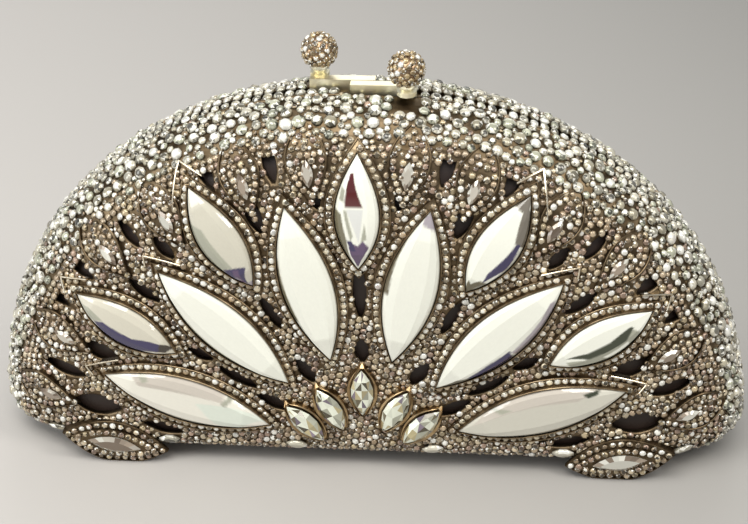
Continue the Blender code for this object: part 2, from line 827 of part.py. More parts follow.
def chain_lugs():
    """Half rings fixed inside the back frame, one at each side."""
    height = LUG_HEIGHT
    upper = height + LUG_RADIUS + LUG_WIRE
    angle = math.atan2(upper - DOME_CENTRE_HEIGHT, HALF_WIDTH)
    wall = outline_reach(angle) * math.cos(angle) - FRAME_INSET - FRAME_WALL - SEAT_GAP
    for side, name in ((-1, "left"), (1, "right")):
        curve = bpy.data.curves.new("lug", "CURVE")
        curve.dimensions = "3D"
        curve.bevel_depth = LUG_WIRE
        curve.bevel_resolution = 1
        curve.use_fill_caps = True
        line = curve.splines.new("POLY")
        line.points.add(LUG_STEPS)
        for index in range(LUG_STEPS + 1):
            turn = math.pi * index / LUG_STEPS
            reach = LUG_RADIUS * math.sin(turn)
            x = side * (wall - LUG_WIRE - reach)
            z = FOOT_DROP + height + LUG_RADIUS * math.cos(turn)
            line.points[index].co = (x, FRAME_DEPTH / 2, z, 1.0)
        wire = bpy.data.objects.new("lug_wire_" + name, curve)
        CUTTERS.objects.link(wire)
        mesh = evaluated_mesh(wire)
        bpy.data.objects.remove(wire, do_unlink=True)
        shape = bmesh.new()
        shape.from_mesh(mesh)
        bmesh.ops.remove_doubles(shape, verts=shape.verts, dist=LUG_WIRE * WELD_SHARE)
        shape.to_mesh(mesh)
        shape.free()
        mesh.materials.clear()
        mesh.materials.append(GOLD)
        PARTS.objects.link(bpy.data.objects.new("chain_lug_" + name, mesh))


# The whole clutch

def piece(name, geometry, mat, half):
    add(name, mesh_of(name, geometry), mat, half)


def add_half(half, shell, frame, lining):
    add(half + "_shell", shell, GOLD, half)
    add(half + "_frame", frame, POLISHED, half)
    add(half + "_lining_tray", lining, SATIN, half)
    for index, row in enumerate(PETAL_PLACE_SHARES, start=1):
        piece("%s_petal_crystal_%02d" % (half, index), petal_crystal(row), CRYSTAL, half)
    for index, row in enumerate(mirrored(BUD_PLACE_SHARES), start=1):
        piece("%s_bud_crystal_%d" % (half, index), bud_crystal(row), CRYSTAL, half)
    for side, name in ((-1, "left"), (1, "right")):
        seen = side if half == "front" else -side
        piece("%s_foot_%s" % (half, name), foot(seen), PAVE, half)
        piece("%s_foot_crystal_%s" % (half, name), foot_stone(seen), CRYSTAL, half)
    clasp_arm(half)


def build():
    shell, frame, lining = shell_mesh(), frame_mesh(), lining_mesh()
    for half in ("front", "back"):
        add_half(half, shell, frame, lining)
    for side, name in ((-1, "left"), (1, "right")):
        centre = side * HINGE_SPACING / 2
        hinge_half("front_hinge_leaf_" + name, centre, -1, (1, 3), "front")
        hinge_half("back_hinge_leaf_" + name, centre, 1, (0, 2, 4), "back")
    hinge_pins()
    chain_lugs()


build()
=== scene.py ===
import math

import bmesh
import bpy
import numpy as np
from mathutils import Matrix, Vector


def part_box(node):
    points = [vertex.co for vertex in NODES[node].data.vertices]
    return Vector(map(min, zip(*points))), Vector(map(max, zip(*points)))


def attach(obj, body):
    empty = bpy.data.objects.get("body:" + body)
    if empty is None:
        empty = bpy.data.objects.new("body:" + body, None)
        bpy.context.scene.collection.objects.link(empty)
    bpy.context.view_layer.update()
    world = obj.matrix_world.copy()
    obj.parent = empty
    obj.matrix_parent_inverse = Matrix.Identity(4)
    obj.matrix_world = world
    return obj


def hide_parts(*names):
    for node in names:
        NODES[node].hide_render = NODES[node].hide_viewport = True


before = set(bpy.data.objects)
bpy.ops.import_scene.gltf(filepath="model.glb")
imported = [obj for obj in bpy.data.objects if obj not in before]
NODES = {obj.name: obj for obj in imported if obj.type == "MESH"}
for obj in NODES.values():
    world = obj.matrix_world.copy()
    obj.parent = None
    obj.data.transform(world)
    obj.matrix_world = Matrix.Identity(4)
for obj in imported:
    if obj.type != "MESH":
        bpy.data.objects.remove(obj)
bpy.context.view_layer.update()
RANDOM = np.random.default_rng(7)
MM = 0.001

# Sizes of the part, in metres
HALF_WIDTH = 0.1027
SHELL_HEIGHT = 0.1018
RIM_SETBACK = 0.0008
DOME_CENTRE_HEIGHT = 0.0140
SHELL_WALL = 0.0018
FOOT_DROP = 0.0026
FRAME_INSET = 0.0026
FRAME_WALL = 0.0016
FRAME_DEPTH = 0.0030
PARTING_GAP = 0.0003
SEAT_GAP = 0.0003
LINING_WALL = 0.0008
LARGE_LENGTH, LARGE_WIDTH = 0.0465, 0.0136
SMALL_LENGTH, SMALL_WIDTH = 0.0296, 0.0114
BAND_WIDTH = 0.0029
BUD_LENGTH, BUD_WIDTH = 0.0148, 0.0062
LEAF_LENGTH, LEAF_WIDTH = 0.0190, 0.0112
FOOT_LENGTH, FOOT_WIDTH = 0.0300, 0.0140
FOOT_RIM = 0.0010
FOOT_STONE_LENGTH, FOOT_STONE_WIDTH = 0.0150, 0.0050
BALL_RADIUS = 0.0051
POST_RADIUS = 0.0028
HINGE_SPACING, HINGE_REACH = 0.0900, 0.0028
HINGE_LENGTH = 0.0262
CLASP_LEFT, CLASP_RIGHT = -3.4 * MM, 14.2 * MM
SIDE_POWER, CORNER_POWER, DOME_POWER = 2.11, 4.0, 8.0
TIP_REACH_SHARE = 1.15
LEAF_SKEW_POWER = 1.45

# Sizes of the metal and the gems made here
DOME_RISE = 0.0221
GALLERY_HEIGHT = 0.0015
WINDOW_LENGTH, WINDOW_WIDTH = 0.0142, 0.0046
LEAF_GEM_LENGTH, LEAF_GEM_WIDTH = 0.0064, 0.0030
OVAL_RADIUS, OVAL_STRETCH = 0.0016, 2.0
OVERRUN = 1.0 * MM
WALL_STEPS = 360
FRAME_STEPS = 320
LINING_STEPS = 160

# Places, as in the part
PETALS = (
    (-0.468, 0.194, 161.9, True),
    (-0.612, 0.421, 149.2, False),
    (-0.3535, 0.426, 134.6, True),
    (-0.347, 0.689, 121.7, False),
    (-0.131, 0.5645, 102.9, True),
    (0.0, 0.770, 90.0, False),
    (0.131, 0.5645, 77.1, True),
    (0.347, 0.689, 58.3, False),
    (0.3535, 0.426, 45.4, True),
    (0.612, 0.421, 30.8, False),
    (0.468, 0.194, 18.1, True),
)
BUDS = ((0.0, 0.239, 90.0), (0.086, 0.180, 62.0), (0.154, 0.132, 48.0))
LEAVES = (
    (0.125, 0.878, 81.0),
    (0.289, 0.838, 70.0),
    (0.492, 0.732, 55.5),
    (0.655, 0.622, 43.0),
    (0.797, 0.362, 24.0),
    (0.858, 0.170, 11.0),
)
WINDOWS = (
    (0.0, 0.545, 90.0, 1.30, 0.80),
    (0.0, 0.360, 90.0, 0.60, 0.90),
    (0.112, 0.815, 70.0, 0.60, 0.80),
    (0.149, 0.292, 60.0, 0.70, 0.90),
    (0.222, 0.888, 75.0, 0.80, 0.80),
    (0.232, 0.470, 62.0, 0.90, 0.70),
    (0.240, 0.185, 30.0, 0.80, 0.85),
    (0.262, 0.752, 68.0, 0.80, 0.90),
    (0.330, 0.262, 32.0, 1.00, 0.75),
    (0.392, 0.860, 60.0, 0.90, 0.90),
    (0.425, 0.335, 30.0, 0.60, 0.80),
    (0.500, 0.650, 48.0, 0.60, 0.80),
    (0.545, 0.085, 15.0, 0.90, 0.80),
    (0.560, 0.522, 38.0, 0.80, 0.80),
    (0.590, 0.674, 45.0, 0.70, 0.70),
    (0.697, 0.326, 24.0, 0.90, 1.10),
    (0.722, 0.150, 5.0, 1.10, 1.50),
    (0.740, 0.565, 33.0, 0.80, 0.90),
    (0.804, 0.256, 15.0, 1.00, 0.90),
    (0.812, 0.470, 30.0, 0.70, 0.80),
)
FOOT_PLACE = (0.680, 0.038, 10.0)
FOOT_SEAT_SHARE = 0.040
OVALS = ((0.183, 0.050, 0.0), (0.530, 0.050, 0.0), (0.845, 0.050, 0.0))


# The dome

def outline_value(x, z):
    side = (np.abs(x) / HALF_WIDTH) ** SIDE_POWER + (np.maximum(z, 0) / SHELL_HEIGHT) ** SIDE_POWER
    low = np.maximum(DOME_CENTRE_HEIGHT - z, 0) / DOME_CENTRE_HEIGHT
    return side ** CORNER_POWER + low ** CORNER_POWER


def outline_reach(angles):
    """Distance from the dome's centre to the outline, found by halving."""
    near = np.zeros_like(angles)
    far = np.full_like(angles, HALF_WIDTH + SHELL_HEIGHT)
    for _ in range(44):
        middle = (near + far) / 2
        inside = outline_value(middle * np.cos(angles),
                               DOME_CENTRE_HEIGHT + middle * np.sin(angles)) < 1
        near = np.where(inside, middle, near)
        far = np.where(inside, far, middle)
    return near


REACH_ANGLES = np.linspace(-math.pi, math.pi, 2881)
REACHES = outline_reach(REACH_ANGLES)
NORMAL_STEP = 0.0005 * HALF_WIDTH
LAST_SHARE = 0.99995


def rim_share(x, z):
    up = z - DOME_CENTRE_HEIGHT
    return np.hypot(x, up) / np.interp(np.arctan2(up, x), REACH_ANGLES, REACHES)


def dome_depth(x, z):
    share = np.minimum(rim_share(x, z), LAST_SHARE)
    return RIM_SETBACK + DOME_RISE * np.sqrt(1 - share ** DOME_POWER)


def unit(vectors):
    return vectors / np.linalg.norm(vectors, axis=-1, keepdims=True)


def dome_normal(x, z):
    step = NORMAL_STEP
    slope_x = (dome_depth(x + step, z) - dome_depth(x - step, z)) / (2 * step)
    slope_z = (dome_depth(x, z + step) - dome_depth(x, z - step)) / (2 * step)
    return unit(np.stack([-slope_x, -np.ones_like(slope_x), -slope_z], -1))


def on_dome(x, z, height=0.0):
    """Points at a height above the front dome, with the normals there."""
    x = np.asarray(x, float)
    z = np.asarray(z, float)
    normal = dome_normal(x, z)
    base = np.stack([x, -dome_depth(x, z), z + FOOT_DROP], -1)
    return base + normal * np.asarray(height, float)[..., None], normal


def raised(x, z, height=0.0):
    return on_dome(x, z, height)[0]


def flat_ring(x, z, y):
    """Points at one distance from the parting plane."""
    return np.stack([x, np.full(len(x), y), z + FOOT_DROP], -1)


def shrunk(x, z, share):
    """A line drawn in towards the dome's centre."""
    return x * share, DOME_CENTRE_HEIGHT + (z - DOME_CENTRE_HEIGHT) * share


def dome_ring(x, z, share, height=0.0):
    return raised(*shrunk(x, z, share), height)


def closed(*lines):
    return [np.append(line, line[0]) for line in lines]


def flat_run(x, z):
    """Distance travelled along a flat line."""
    return np.concatenate(([0], np.cumsum(np.hypot(np.diff(x), np.diff(z)))))


def travelled(points):
    """Distance travelled along a line in space."""
    return np.concatenate(([0], np.cumsum(np.linalg.norm(np.diff(points, axis=0), axis=1))))


def outline_loop(count):
    """Points of the outline and their outward normals, evenly spaced along it."""
    angles = np.linspace(-math.pi / 2, 1.5 * math.pi, 4001)
    reach = outline_reach(angles)
    x = reach * np.cos(angles)
    z = DOME_CENTRE_HEIGHT + reach * np.sin(angles)
    run = flat_run(x, z)
    wanted = np.linspace(0, run[-1], count, endpoint=False)
    px = np.interp(wanted, run, x)
    pz = np.interp(wanted, run, z)
    dx = np.roll(px, -1) - np.roll(px, 1)
    dz = np.roll(pz, -1) - np.roll(pz, 1)
    size = np.hypot(dx, dz)
    return px, pz, dz / size, -dx / size


# Leaves on the dome's face

def place_of(row):
    return row[0] * HALF_WIDTH, row[1] * SHELL_HEIGHT, math.radians(row[2])


def mirrored(rows):
    result = []
    for row in rows:
        result.append(row)
        if row[0] != 0:
            result.append((-row[0], row[1], 180 - row[2]) + tuple(row[3:]))
    return result


def leaf_xz(place, share, side, length, width, skew=1.0):
    x, z, lean = place
    share = np.clip(np.asarray(share, float), 0, 1)
    side = np.asarray(side, float)
    along = (share - 0.5) * length
    across = side * 4 * share ** skew * (1 - share ** skew) * width / 2
    return (x + along * math.cos(lean) - across * math.sin(lean),
            z + along * math.sin(lean) + across * math.cos(lean))


def leaf_tip(place, end, length, width, level, skew=1.0):
    x, z = leaf_xz(place, np.array([end]), 0.0, length, width, skew)
    return raised(x, z, level)[0]


def two_sided(place, shares, back_shares, length, width, skew=1.0):
    """A loop up a leaf's right side and down its left side."""
    right = leaf_xz(place, shares, -1, length, width, skew)
    left = leaf_xz(place, back_shares, 1, length, width, skew)
    return np.concatenate([right[0], left[0]]), np.concatenate([right[1], left[1]])


def leaf_loop(place, length, width, steps, skew=1.0):
    shares = np.linspace(0, 1, steps + 1)
    return two_sided(place, shares, shares[::-1][1:-1], length, width, skew)


def grown(length, width, growth):
    return length + 2 * growth * TIP_REACH_SHARE, width + 2 * growth


def in_leaf(x, z, place, length, width, growth=0.0, skew=1.0):
    """True where a point of the face lies inside a leaf that has grown by a margin."""
    px, pz, lean = place
    length, width = grown(length, width, growth)
    along = ((x - px) * math.cos(lean) + (z - pz) * math.sin(lean)) / length + 0.5
    across = -(x - px) * math.sin(lean) + (z - pz) * math.cos(lean)
    inner = np.clip(along, 0, 1)
    half = 4 * inner ** skew * (1 - inner ** skew) * width / 2
    return (along > 0) & (along < 1) & (np.abs(across) < half)


def in_rim_leaves(x, z):
    inside = np.zeros(len(x), bool)
    for row in mirrored(LEAVES):
        inside |= in_leaf(x, z, place_of(row), LEAF_LENGTH, LEAF_WIDTH, 0.0, LEAF_SKEW_POWER)
    return inside


def petal_size(row):
    return (LARGE_LENGTH, LARGE_WIDTH) if row[3] else (SMALL_LENGTH, SMALL_WIDTH)


# Meshes

def paint(mesh, tones, domain="FACE"):
    """Stores a tone for each face or corner."""
    tones = np.asarray(tones, float)
    colours = np.concatenate([tones, np.ones(tones.shape[:-1] + (1,))], -1)
    store = mesh.attributes.new("facet", "FLOAT_COLOR", domain)
    store.data.foreach_set("color", colours.astype(np.float32).ravel())


def solid(name, geometry, tones=None, smooth=False, domain="FACE"):
    """A closed mesh whose faces point out."""
    verts, faces = geometry
    points = [tuple(v) for v in np.asarray(verts, float)]
    mesh = bpy.data.meshes.new(name)
    mesh.from_pydata(points, [], [tuple(int(i) for i in face) for face in faces])
    if tones is not None:
        paint(mesh, tones, domain)
    mesh.update()
    if smooth:
        mesh.shade_smooth()
    shape = bmesh.new()
    shape.from_mesh(mesh)
    bmesh.ops.recalc_face_normals(shape, faces=shape.faces)
    shape.to_mesh(mesh)
    shape.free()
    return mesh


def bulk_mesh(name, verts, corners, sizes, tones):
    """A mesh of very many faces, filled at one go."""
    mesh = bpy.data.meshes.new(name)
    mesh.vertices.add(len(verts))
    mesh.vertices.foreach_set("co", np.asarray(verts, np.float32).ravel())
    mesh.loops.add(len(corners))
    mesh.loops.foreach_set("vertex_index", np.asarray(corners, np.int32))
    mesh.polygons.add(len(sizes))
    starts = np.concatenate(([0], np.cumsum(sizes)[:-1]))
    mesh.polygons.foreach_set("loop_start", starts.astype(np.int32))
    mesh.update(calc_edges=True)
    paint(mesh, tones)
    return mesh


def loft(rings, closed_up=False, caps=True):
    """Verts and faces between rings of equally many points."""
    count = len(rings[0])
    verts = np.concatenate([np.asarray(ring, float) for ring in rings])
    faces = []
    spans = len(rings) if closed_up else len(rings) - 1
    for index in range(spans):
        low = index * count
        high = ((index + 1) % len(rings)) * count
        for k in range(count):
            after = (k + 1) % count
            faces.append((low + k, low + after, high + after, high + k))
    if caps and not closed_up:
        faces.append(tuple(range(count))[::-1])
        faces.append(tuple(range(len(verts) - count, len(verts))))
    return verts, faces


def merged(parts):
    all_verts, all_faces = [], []
    base = 0
    for verts, faces in parts:
        all_verts.append(np.asarray(verts, float))
        all_faces.extend(tuple(base + index for index in face) for face in faces)
        base += len(verts)
    return np.concatenate(all_verts), all_faces


def placed(name, data):
    item = bpy.data.objects.new(name, data)
    bpy.context.scene.collection.objects.link(item)
    return item


def show(name, mesh, mat, half, replaces=()):
    """An object that rides on one half; the back half's copy is turned about the upright axis."""
    item = placed(half + "_" + name, mesh)
    if not mesh.materials:
        mesh.materials.append(mat)
    if half == "back":
        item.rotation_euler = (0.0, 0.0, math.pi)
    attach(item, half + "_half")
    if replaces:
        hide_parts(*replaces)


def both(name, mesh, mat, slot, *nodes):
    """The same piece on each half, in place of that half's own nodes."""
    for half in ("front", "back"):
        show(name, mesh, mat, half, [half + "_" + node for node in nodes])


def bevelled_copy(node, body, mat, width, segments):
    """A part of the frame with rounded edges, in place of its plain node."""
    mesh = NODES[node].data.copy()
    mesh.materials.clear()
    mesh.materials.append(mat)
    item = placed(node + "_finished", mesh)
    shape = bmesh.new()
    shape.from_mesh(mesh)
    bmesh.ops.remove_doubles(shape, verts=shape.verts, dist=0.02 * MM)
    bmesh.ops.dissolve_limit(shape, angle_limit=math.radians(1.0), verts=shape.verts,
                             edges=shape.edges)
    shape.to_mesh(mesh)
    shape.free()
    step = item.modifiers.new("edges", "BEVEL")
    step.width = width
    step.segments = segments
    step.limit_method = "ANGLE"
    step.angle_limit = math.radians(40)
    mesh.shade_smooth()
    smooth = item.modifiers.new("normals", "WEIGHTED_NORMAL")
    smooth.keep_sharp = True
    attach(item, body)
    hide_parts(node)


# Materials

RELIEF_DEPTH = 0.05 * MM


def set_inputs(node, **values):
    """Sets a node's inputs by name, with underscores for the spaces."""
    for name, value in values.items():
        node.inputs[name.replace("_", " ")].default_value = value


def new_node(tree, kind, **values):
    node = tree.nodes.new("ShaderNode" + kind)
    set_inputs(node, **values)
    return node


def wire(tree, source, output, target, entry):
    tree.links.new(source.outputs[output], target.inputs[entry])


def material(name, colour, roughness, metallic=0.0):
    mat = bpy.data.materials.new(name)
    mat.use_nodes = True
    shader = mat.node_tree.nodes["Principled BSDF"]
    set_inputs(shader, Base_Color=(*colour, 1.0), Roughness=roughness, Metallic=metallic)
    return mat, shader, mat.node_tree


def tone_ramp(tree, first, last, start=0.0, end=1.0):
    ramp = new_node(tree, "ValToRGB")
    for stop, tone, place in zip(ramp.color_ramp.elements, (first, last), (start, end)):
        stop.position = place
        stop.color = (*tone, 1.0)
    return ramp


def relief(tree, shader, texture, strength):
    """A fine relief that follows a texture."""
    lift = new_node(tree, "Bump", Strength=strength, Distance=RELIEF_DEPTH)
    wire(tree, texture, "Fac", lift, "Height")
    wire(tree, lift, "Normal", shader, "Normal")


def metal(name, dark, light, roughness, grain, bump):
    """Metal whose tone and polish vary a little over its surface."""
    mat, shader, tree = material(name, light, roughness, 1.0)
    where = new_node(tree, "TexCoord")
    noise = new_node(tree, "TexNoise", Scale=grain, Detail=4.0)
    wire(tree, where, "Object", noise, "Vector")
    ramp = tone_ramp(tree, dark, light, 0.35, 0.65)
    wire(tree, noise, "Fac", ramp, "Fac")
    wire(tree, ramp, "Color", shader, "Base Color")
    spread = new_node(tree, "MapRange", To_Min=roughness * 0.8, To_Max=roughness * 1.3)
    wire(tree, noise, "Fac", spread, "Value")
    wire(tree, spread, "Result", shader, "Roughness")
    if bump:
        fine = new_node(tree, "TexNoise", Scale=grain * 4)
        wire(tree, where, "Object", fine, "Vector")
        relief(tree, shader, fine, bump)
    return mat


def facet_material(name, roughness, coat, metallic=0.0):
    """Cut glass with a foiled back: every facet has its own tone, which carries its painted
    reflections, highlights and glints.
    """
    mat, shader, tree = material(name, (0.8, 0.8, 0.75), roughness, metallic)
    tone = new_node(tree, "Attribute")
    tone.attribute_name = "facet"
    wire(tree, tone, "Color", shader, "Base Color")
    set_inputs(shader, Specular_IOR_Level=0.5, Coat_Weight=coat, Coat_Roughness=0.02)
    return mat


def satin():
    mat, shader, tree = material("lining_satin", (0.026, 0.014, 0.009), 0.48)
    set_inputs(shader, Sheen_Weight=0.12, Sheen_Roughness=0.4)
    where = new_node(tree, "TexCoord")
    weave = new_node(tree, "TexWave", Scale=900.0, Distortion=1.5)
    wire(tree, where, "Object", weave, "Vector")
    relief(tree, shader, weave, 0.25)
    return mat


# Gold darkened as painted shade in the gaps between the stones
GOLD = metal("antique_gold", (0.07, 0.048, 0.026), (0.17, 0.125, 0.075), 0.38, 260.0, 0.25)
# Gold of the petals' bezels and channels, darkened, though less than the gaps' gold, as painted shade
# round the crystals
BEZEL_GOLD = metal("bezel_gold_with_painted_shade", (0.15, 0.105, 0.06), (0.33, 0.25, 0.155), 0.36, 260.0, 0.25)
CUP_GOLD = metal("cup_gold", (0.30, 0.20, 0.10), (0.55, 0.40, 0.22), 0.30, 300.0, 0.15)
EDGE = metal("bare_gold_edge", (0.70, 0.60, 0.44), (0.86, 0.78, 0.62), 0.24, 300.0, 0.1)
POLISHED = metal("polished_gold", (0.94, 0.85, 0.60), (0.98, 0.94, 0.74), 0.36, 120.0, 0.0)
FRAME_GOLD = metal("frame_gold", (0.30, 0.24, 0.15), (0.50, 0.41, 0.27), 0.28, 160.0, 0.15)
BALL_METAL = metal("ball_metal", (0.28, 0.18, 0.11), (0.42, 0.29, 0.18), 0.30, 500.0, 0.0)
CRYSTAL = facet_material("petal_crystal", 0.05, 0.6)
BUD_GLASS = facet_material("bud_crystal", 0.05, 0.8, 0.15)
STONES = facet_material("pave_stones", 0.10, 0.5, 0.25)
RIM_STONES = facet_material("rim_stones", 0.07, 0.8, 0.20)
SATIN = satin()


# Shell, with the openings of its lattice

WALL_SHARES = (0.06, 0.25, 0.45, 0.58, 0.67, 0.74, 0.79, 0.83, 0.865, 0.893, 0.915, 0.934,
               0.95, 0.963, 0.974, 0.983, 0.99, 0.995, 0.9985, 0.9998)
WINDOW_SHARES = np.linspace(0.06, 0.94, 10)


def shell_wall():
    px, pz, nx, nz = outline_loop(WALL_STEPS)
    outer = [dome_ring(px, pz, share) for share in WALL_SHARES]
    inner = [dome_ring(px, pz, share, -SHELL_WALL) for share in WALL_SHARES]
    rim = [flat_ring(px - nx * inset, pz - nz * inset, -RIM_SETBACK) for inset in (0, SHELL_WALL)]
    return solid("shell_wall", loft(outer + rim + inner[::-1]))


def window_cutters():
    pieces = []
    ends = (-DOME_RISE - 4 * OVERRUN, -SHELL_WALL - RIM_SETBACK)
    for row in mirrored(WINDOWS):
        x, z = two_sided(place_of(row), WINDOW_SHARES, WINDOW_SHARES[::-1],
                         row[3] * WINDOW_LENGTH, row[4] * WINDOW_WIDTH)
        pieces.append(loft([flat_ring(x, z, y) for y in ends]))
    return merged(pieces)


def box_loft(low, high):
    ring = [(low[1], low[2]), (high[1], low[2]), (high[1], high[2]), (low[1], high[2])]
    return loft([np.array([(x, y, z) for y, z in ring]) for x in (low[0], high[0])])


def pocket_cutters():
    """Room in the rim for the two hinges and for the clasp's bars."""
    low = FOOT_DROP - GALLERY_HEIGHT - 3 * OVERRUN
    high = FOOT_DROP + FRAME_INSET
    half = HINGE_LENGTH / 2 + SEAT_GAP
    reach = -HINGE_REACH - 2 * SEAT_GAP
    boxes = []
    for side in (-1, 1):
        centre = side * HINGE_SPACING / 2
        boxes.append(box_loft((centre - half, reach, low), (centre + half, OVERRUN, high)))
    top = FOOT_DROP + SHELL_HEIGHT
    boxes.append(box_loft((CLASP_LEFT, reach, top - FRAME_INSET),
                          (CLASP_RIGHT, OVERRUN, top + 6 * OVERRUN)))
    return merged(boxes)


def cut(mesh, geometry):
    body = placed("body", mesh)
    tool = placed("tool", solid("tool", geometry))
    step = body.modifiers.new("cut", "BOOLEAN")
    step.operation = "DIFFERENCE"
    step.solver = "EXACT"
    step.object = tool
    graph = bpy.context.evaluated_depsgraph_get()
    graph.update()
    result = bpy.data.meshes.new_from_object(body.evaluated_get(graph))
    for item in (body, tool):
        bpy.data.objects.remove(item, do_unlink=True)
    return result


# Rim bed: shares of the outline and shares of the bed's height
RIM_BED = ((0.905, 0.00), (0.932, 0.30), (0.960, 0.62), (0.983, 0.85), (0.995, 1.00),
           (0.9998, 1.00))
BED_SHARES = (0.912, 0.932, 0.945, 0.958, 0.969, 0.979, 0.987, 0.993, 0.997, 0.9985)
ROOT_SHARES = (0.9998, 0.997, 0.99, 0.98, 0.966, 0.95, 0.932, 0.912)
LIP = ((0.9987, 0.0), (0.9991, 0.15), (0.9996, 0.0), (0.9998, -0.2))
BED_DROP, BED_ROOT = 0.15 * MM, 0.6 * MM


def rim_bed(share):
    """Height of the raised bed under the rim's stones."""
    shares = [row[0] for row in RIM_BED]
    levels = [row[1] * GALLERY_HEIGHT for row in RIM_BED]
    return np.interp(share, shares, levels, left=0.0)


def gallery_ring():
    """Raised bed round the rim with a thin lip along the parting groove."""
    px, pz = outline_loop(WALL_STEPS)[:2]
    section = [(share, float(rim_bed(share)) - BED_DROP) for share in BED_SHARES]
    section += [(share, GALLERY_HEIGHT + level * MM) for share, level in LIP]
    section += [(share, -BED_ROOT) for share in ROOT_SHARES]
    return loft([dome_ring(px, pz, share, level) for share, level in section], closed_up=True)


# Settings, leaves and cups; a section's levels are heights above the face in mm, and its first
# values are growth in mm for a setting and shares of the half width for a leaf, cup or edge
ROOT_LEVEL = -0.4
TIP_LEVEL = -0.3 * MM
SETTING_SECTION = ((0.25, ROOT_LEVEL), (0.25, 2.05), (0.34, 2.20), (0.50, 2.20), (0.62, 2.00),
                   (0.66, 0.65), (2.58, 0.50), (2.62, 0.98), (2.70, 1.12), (2.84, 1.12),
                   (2.94, 0.98), (2.95, ROOT_LEVEL))
LEAF_SECTION = ((-1, ROOT_LEVEL), (-1, 1.25), (-0.97, 1.4), (-0.92, 1.4), (-0.89, 1.25),
                (-0.88, 0.75), (0.88, 0.75), (0.89, 1.25), (0.92, 1.4), (0.97, 1.4), (1, 1.25),
                (1, ROOT_LEVEL))
CUP_SECTION = ((-1, ROOT_LEVEL), (-1, 1.6), (-0.9, 1.8), (-0.78, 1.6), (-0.74, 1.0),
               (0.74, 1.0), (0.78, 1.6), (0.9, 1.8), (1, 1.6), (1, ROOT_LEVEL))
CUP_LENGTH, CUP_WIDTH = BUD_LENGTH + 2.4 * MM, BUD_WIDTH + 2.0 * MM
EDGE_WIDTH, EDGE_GROWTH = 0.42 * MM, 5.0 * MM
EDGE_TOP, EDGE_BEVEL = 1.45, 0.12
EDGE_STEPS = 14
# Where the arms of the bare edges start, for the petals from the lowest to the highest
EDGE_ARMS = {1: (0.86, 0.955), 2: (0.86, 0.93), 3: (0.86, 0.96), 4: (0.88, 0.80)}


def setting_ring(row):
    """Bezel, channel and outer lip round a petal."""
    steps = 26 if row[3] else 20
    rings = []
    for growth, level in SETTING_SECTION:
        length, width = grown(*petal_size(row), growth * MM)
        rings.append(raised(*leaf_loop(place_of(row), length, width, steps), level * MM))
    return loft(rings, closed_up=True)


def leaf_plate(place, length, width, section, skew, steps):
    """A leaf-shaped solid with one cross-section."""
    side = np.array([s for s, _ in section])
    level = np.array([h for _, h in section]) * MM
    rings = []
    for share in np.linspace(0, 1, steps + 2)[1:-1]:
        x, z = leaf_xz(place, np.full(len(side), share), side, length, width, skew)
        rings.append(raised(x, z, level))
    verts, faces = loft(rings, caps=False)
    count = len(section)
    total = len(verts)
    tips = [leaf_tip(place, end, length, width, TIP_LEVEL, skew) for end in (0.0, 1.0)]
    for k in range(count):
        after = (k + 1) % count
        faces.append((after, k, total))
        faces.append((total - count + k, total - count + after, total + 1))
    return np.concatenate([verts, tips]), faces


def rim_leaf(row):
    return leaf_plate(place_of(row), LEAF_LENGTH, LEAF_WIDTH, LEAF_SECTION, LEAF_SKEW_POWER, 22)


def bud_cup(row):
    return leaf_plate(place_of(row), CUP_LENGTH, CUP_WIDTH, CUP_SECTION, 1.0, 14)


def ridge(x, z):
    """A thin raised edge along a line on the dome's face."""
    dx = np.gradient(x)
    dz = np.gradient(z)
    size = np.hypot(dx, dz)
    nx, nz = -dz / size, dx / size
    section = ((-0.5, ROOT_LEVEL), (-0.5, EDGE_TOP - EDGE_BEVEL), (-0.28, EDGE_TOP),
               (0.28, EDGE_TOP), (0.5, EDGE_TOP - EDGE_BEVEL), (0.5, ROOT_LEVEL))
    rings = [raised(x + nx * side * EDGE_WIDTH, z + nz * side * EDGE_WIDTH, level * MM)
             for side, level in section]
    return loft(list(np.stack(rings, 1)))


def chevron(row, upper, lower):
    """The bare edge round the outer end of a petal's second border; arms start at these shares."""
    place = place_of(row)
    length, width = grown(*petal_size(row), EDGE_GROWTH)
    top = 1 if row[0] > 0 else -1
    first = leaf_xz(place, np.linspace(upper, 1, EDGE_STEPS), top, length, width)
    second = leaf_xz(place, np.linspace(1, lower, EDGE_STEPS)[1:], -top, length, width)
    return ridge(np.concatenate([first[0], second[0]]), np.concatenate([first[1], second[1]]))


def bare_edges():
    edges = []
    for index, row in enumerate(PETALS, start=1):
        pair = min(index, len(PETALS) + 1 - index)
        if pair in EDGE_ARMS:
            edges.append(chevron(row, *EDGE_ARMS[pair]))
    return merged(edges)


# Cut stones: shares of facets with painted dark reflections, painted highlights and painted glints go
# with each palette

STONE_SIDES = 8
STONE_RINGS = ((0, 0.56, 0.62), (0.5, 1.0, 0.22), (0.5, 0.72, -0.35))
# White of the painted highlights and glints on the stones' facets
PAINTED_STONE_HIGHLIGHT = np.array([0.93, 0.91, 0.82])
FIELD_PALETTE = ((0.34, 0.255, 0.165), (0.46, 0.36, 0.24), (0.26, 0.19, 0.115), (0.54, 0.45, 0.31),
                 (0.40, 0.32, 0.195), (0.33, 0.23, 0.165))
BAND_PALETTE = ((0.50, 0.42, 0.29), (0.60, 0.52, 0.37), (0.41, 0.32, 0.21), (0.68, 0.61, 0.45))
RIM_PALETTE = ((0.49, 0.46, 0.36), (0.60, 0.56, 0.45), (0.37, 0.335, 0.24), (0.43, 0.43, 0.32))
BALL_PALETTE = ((0.34, 0.24, 0.115), (0.42, 0.31, 0.155), (0.27, 0.19, 0.09))
STONE_KINDS = (
    ("band", BAND_PALETTE, (0.20, 0.18, 0.12), STONES),
    ("field", FIELD_PALETTE, (0.22, 0.11, 0.06), STONES),
    ("rim", RIM_PALETTE, (0.20, 0.20, 0.09), RIM_STONES),
)


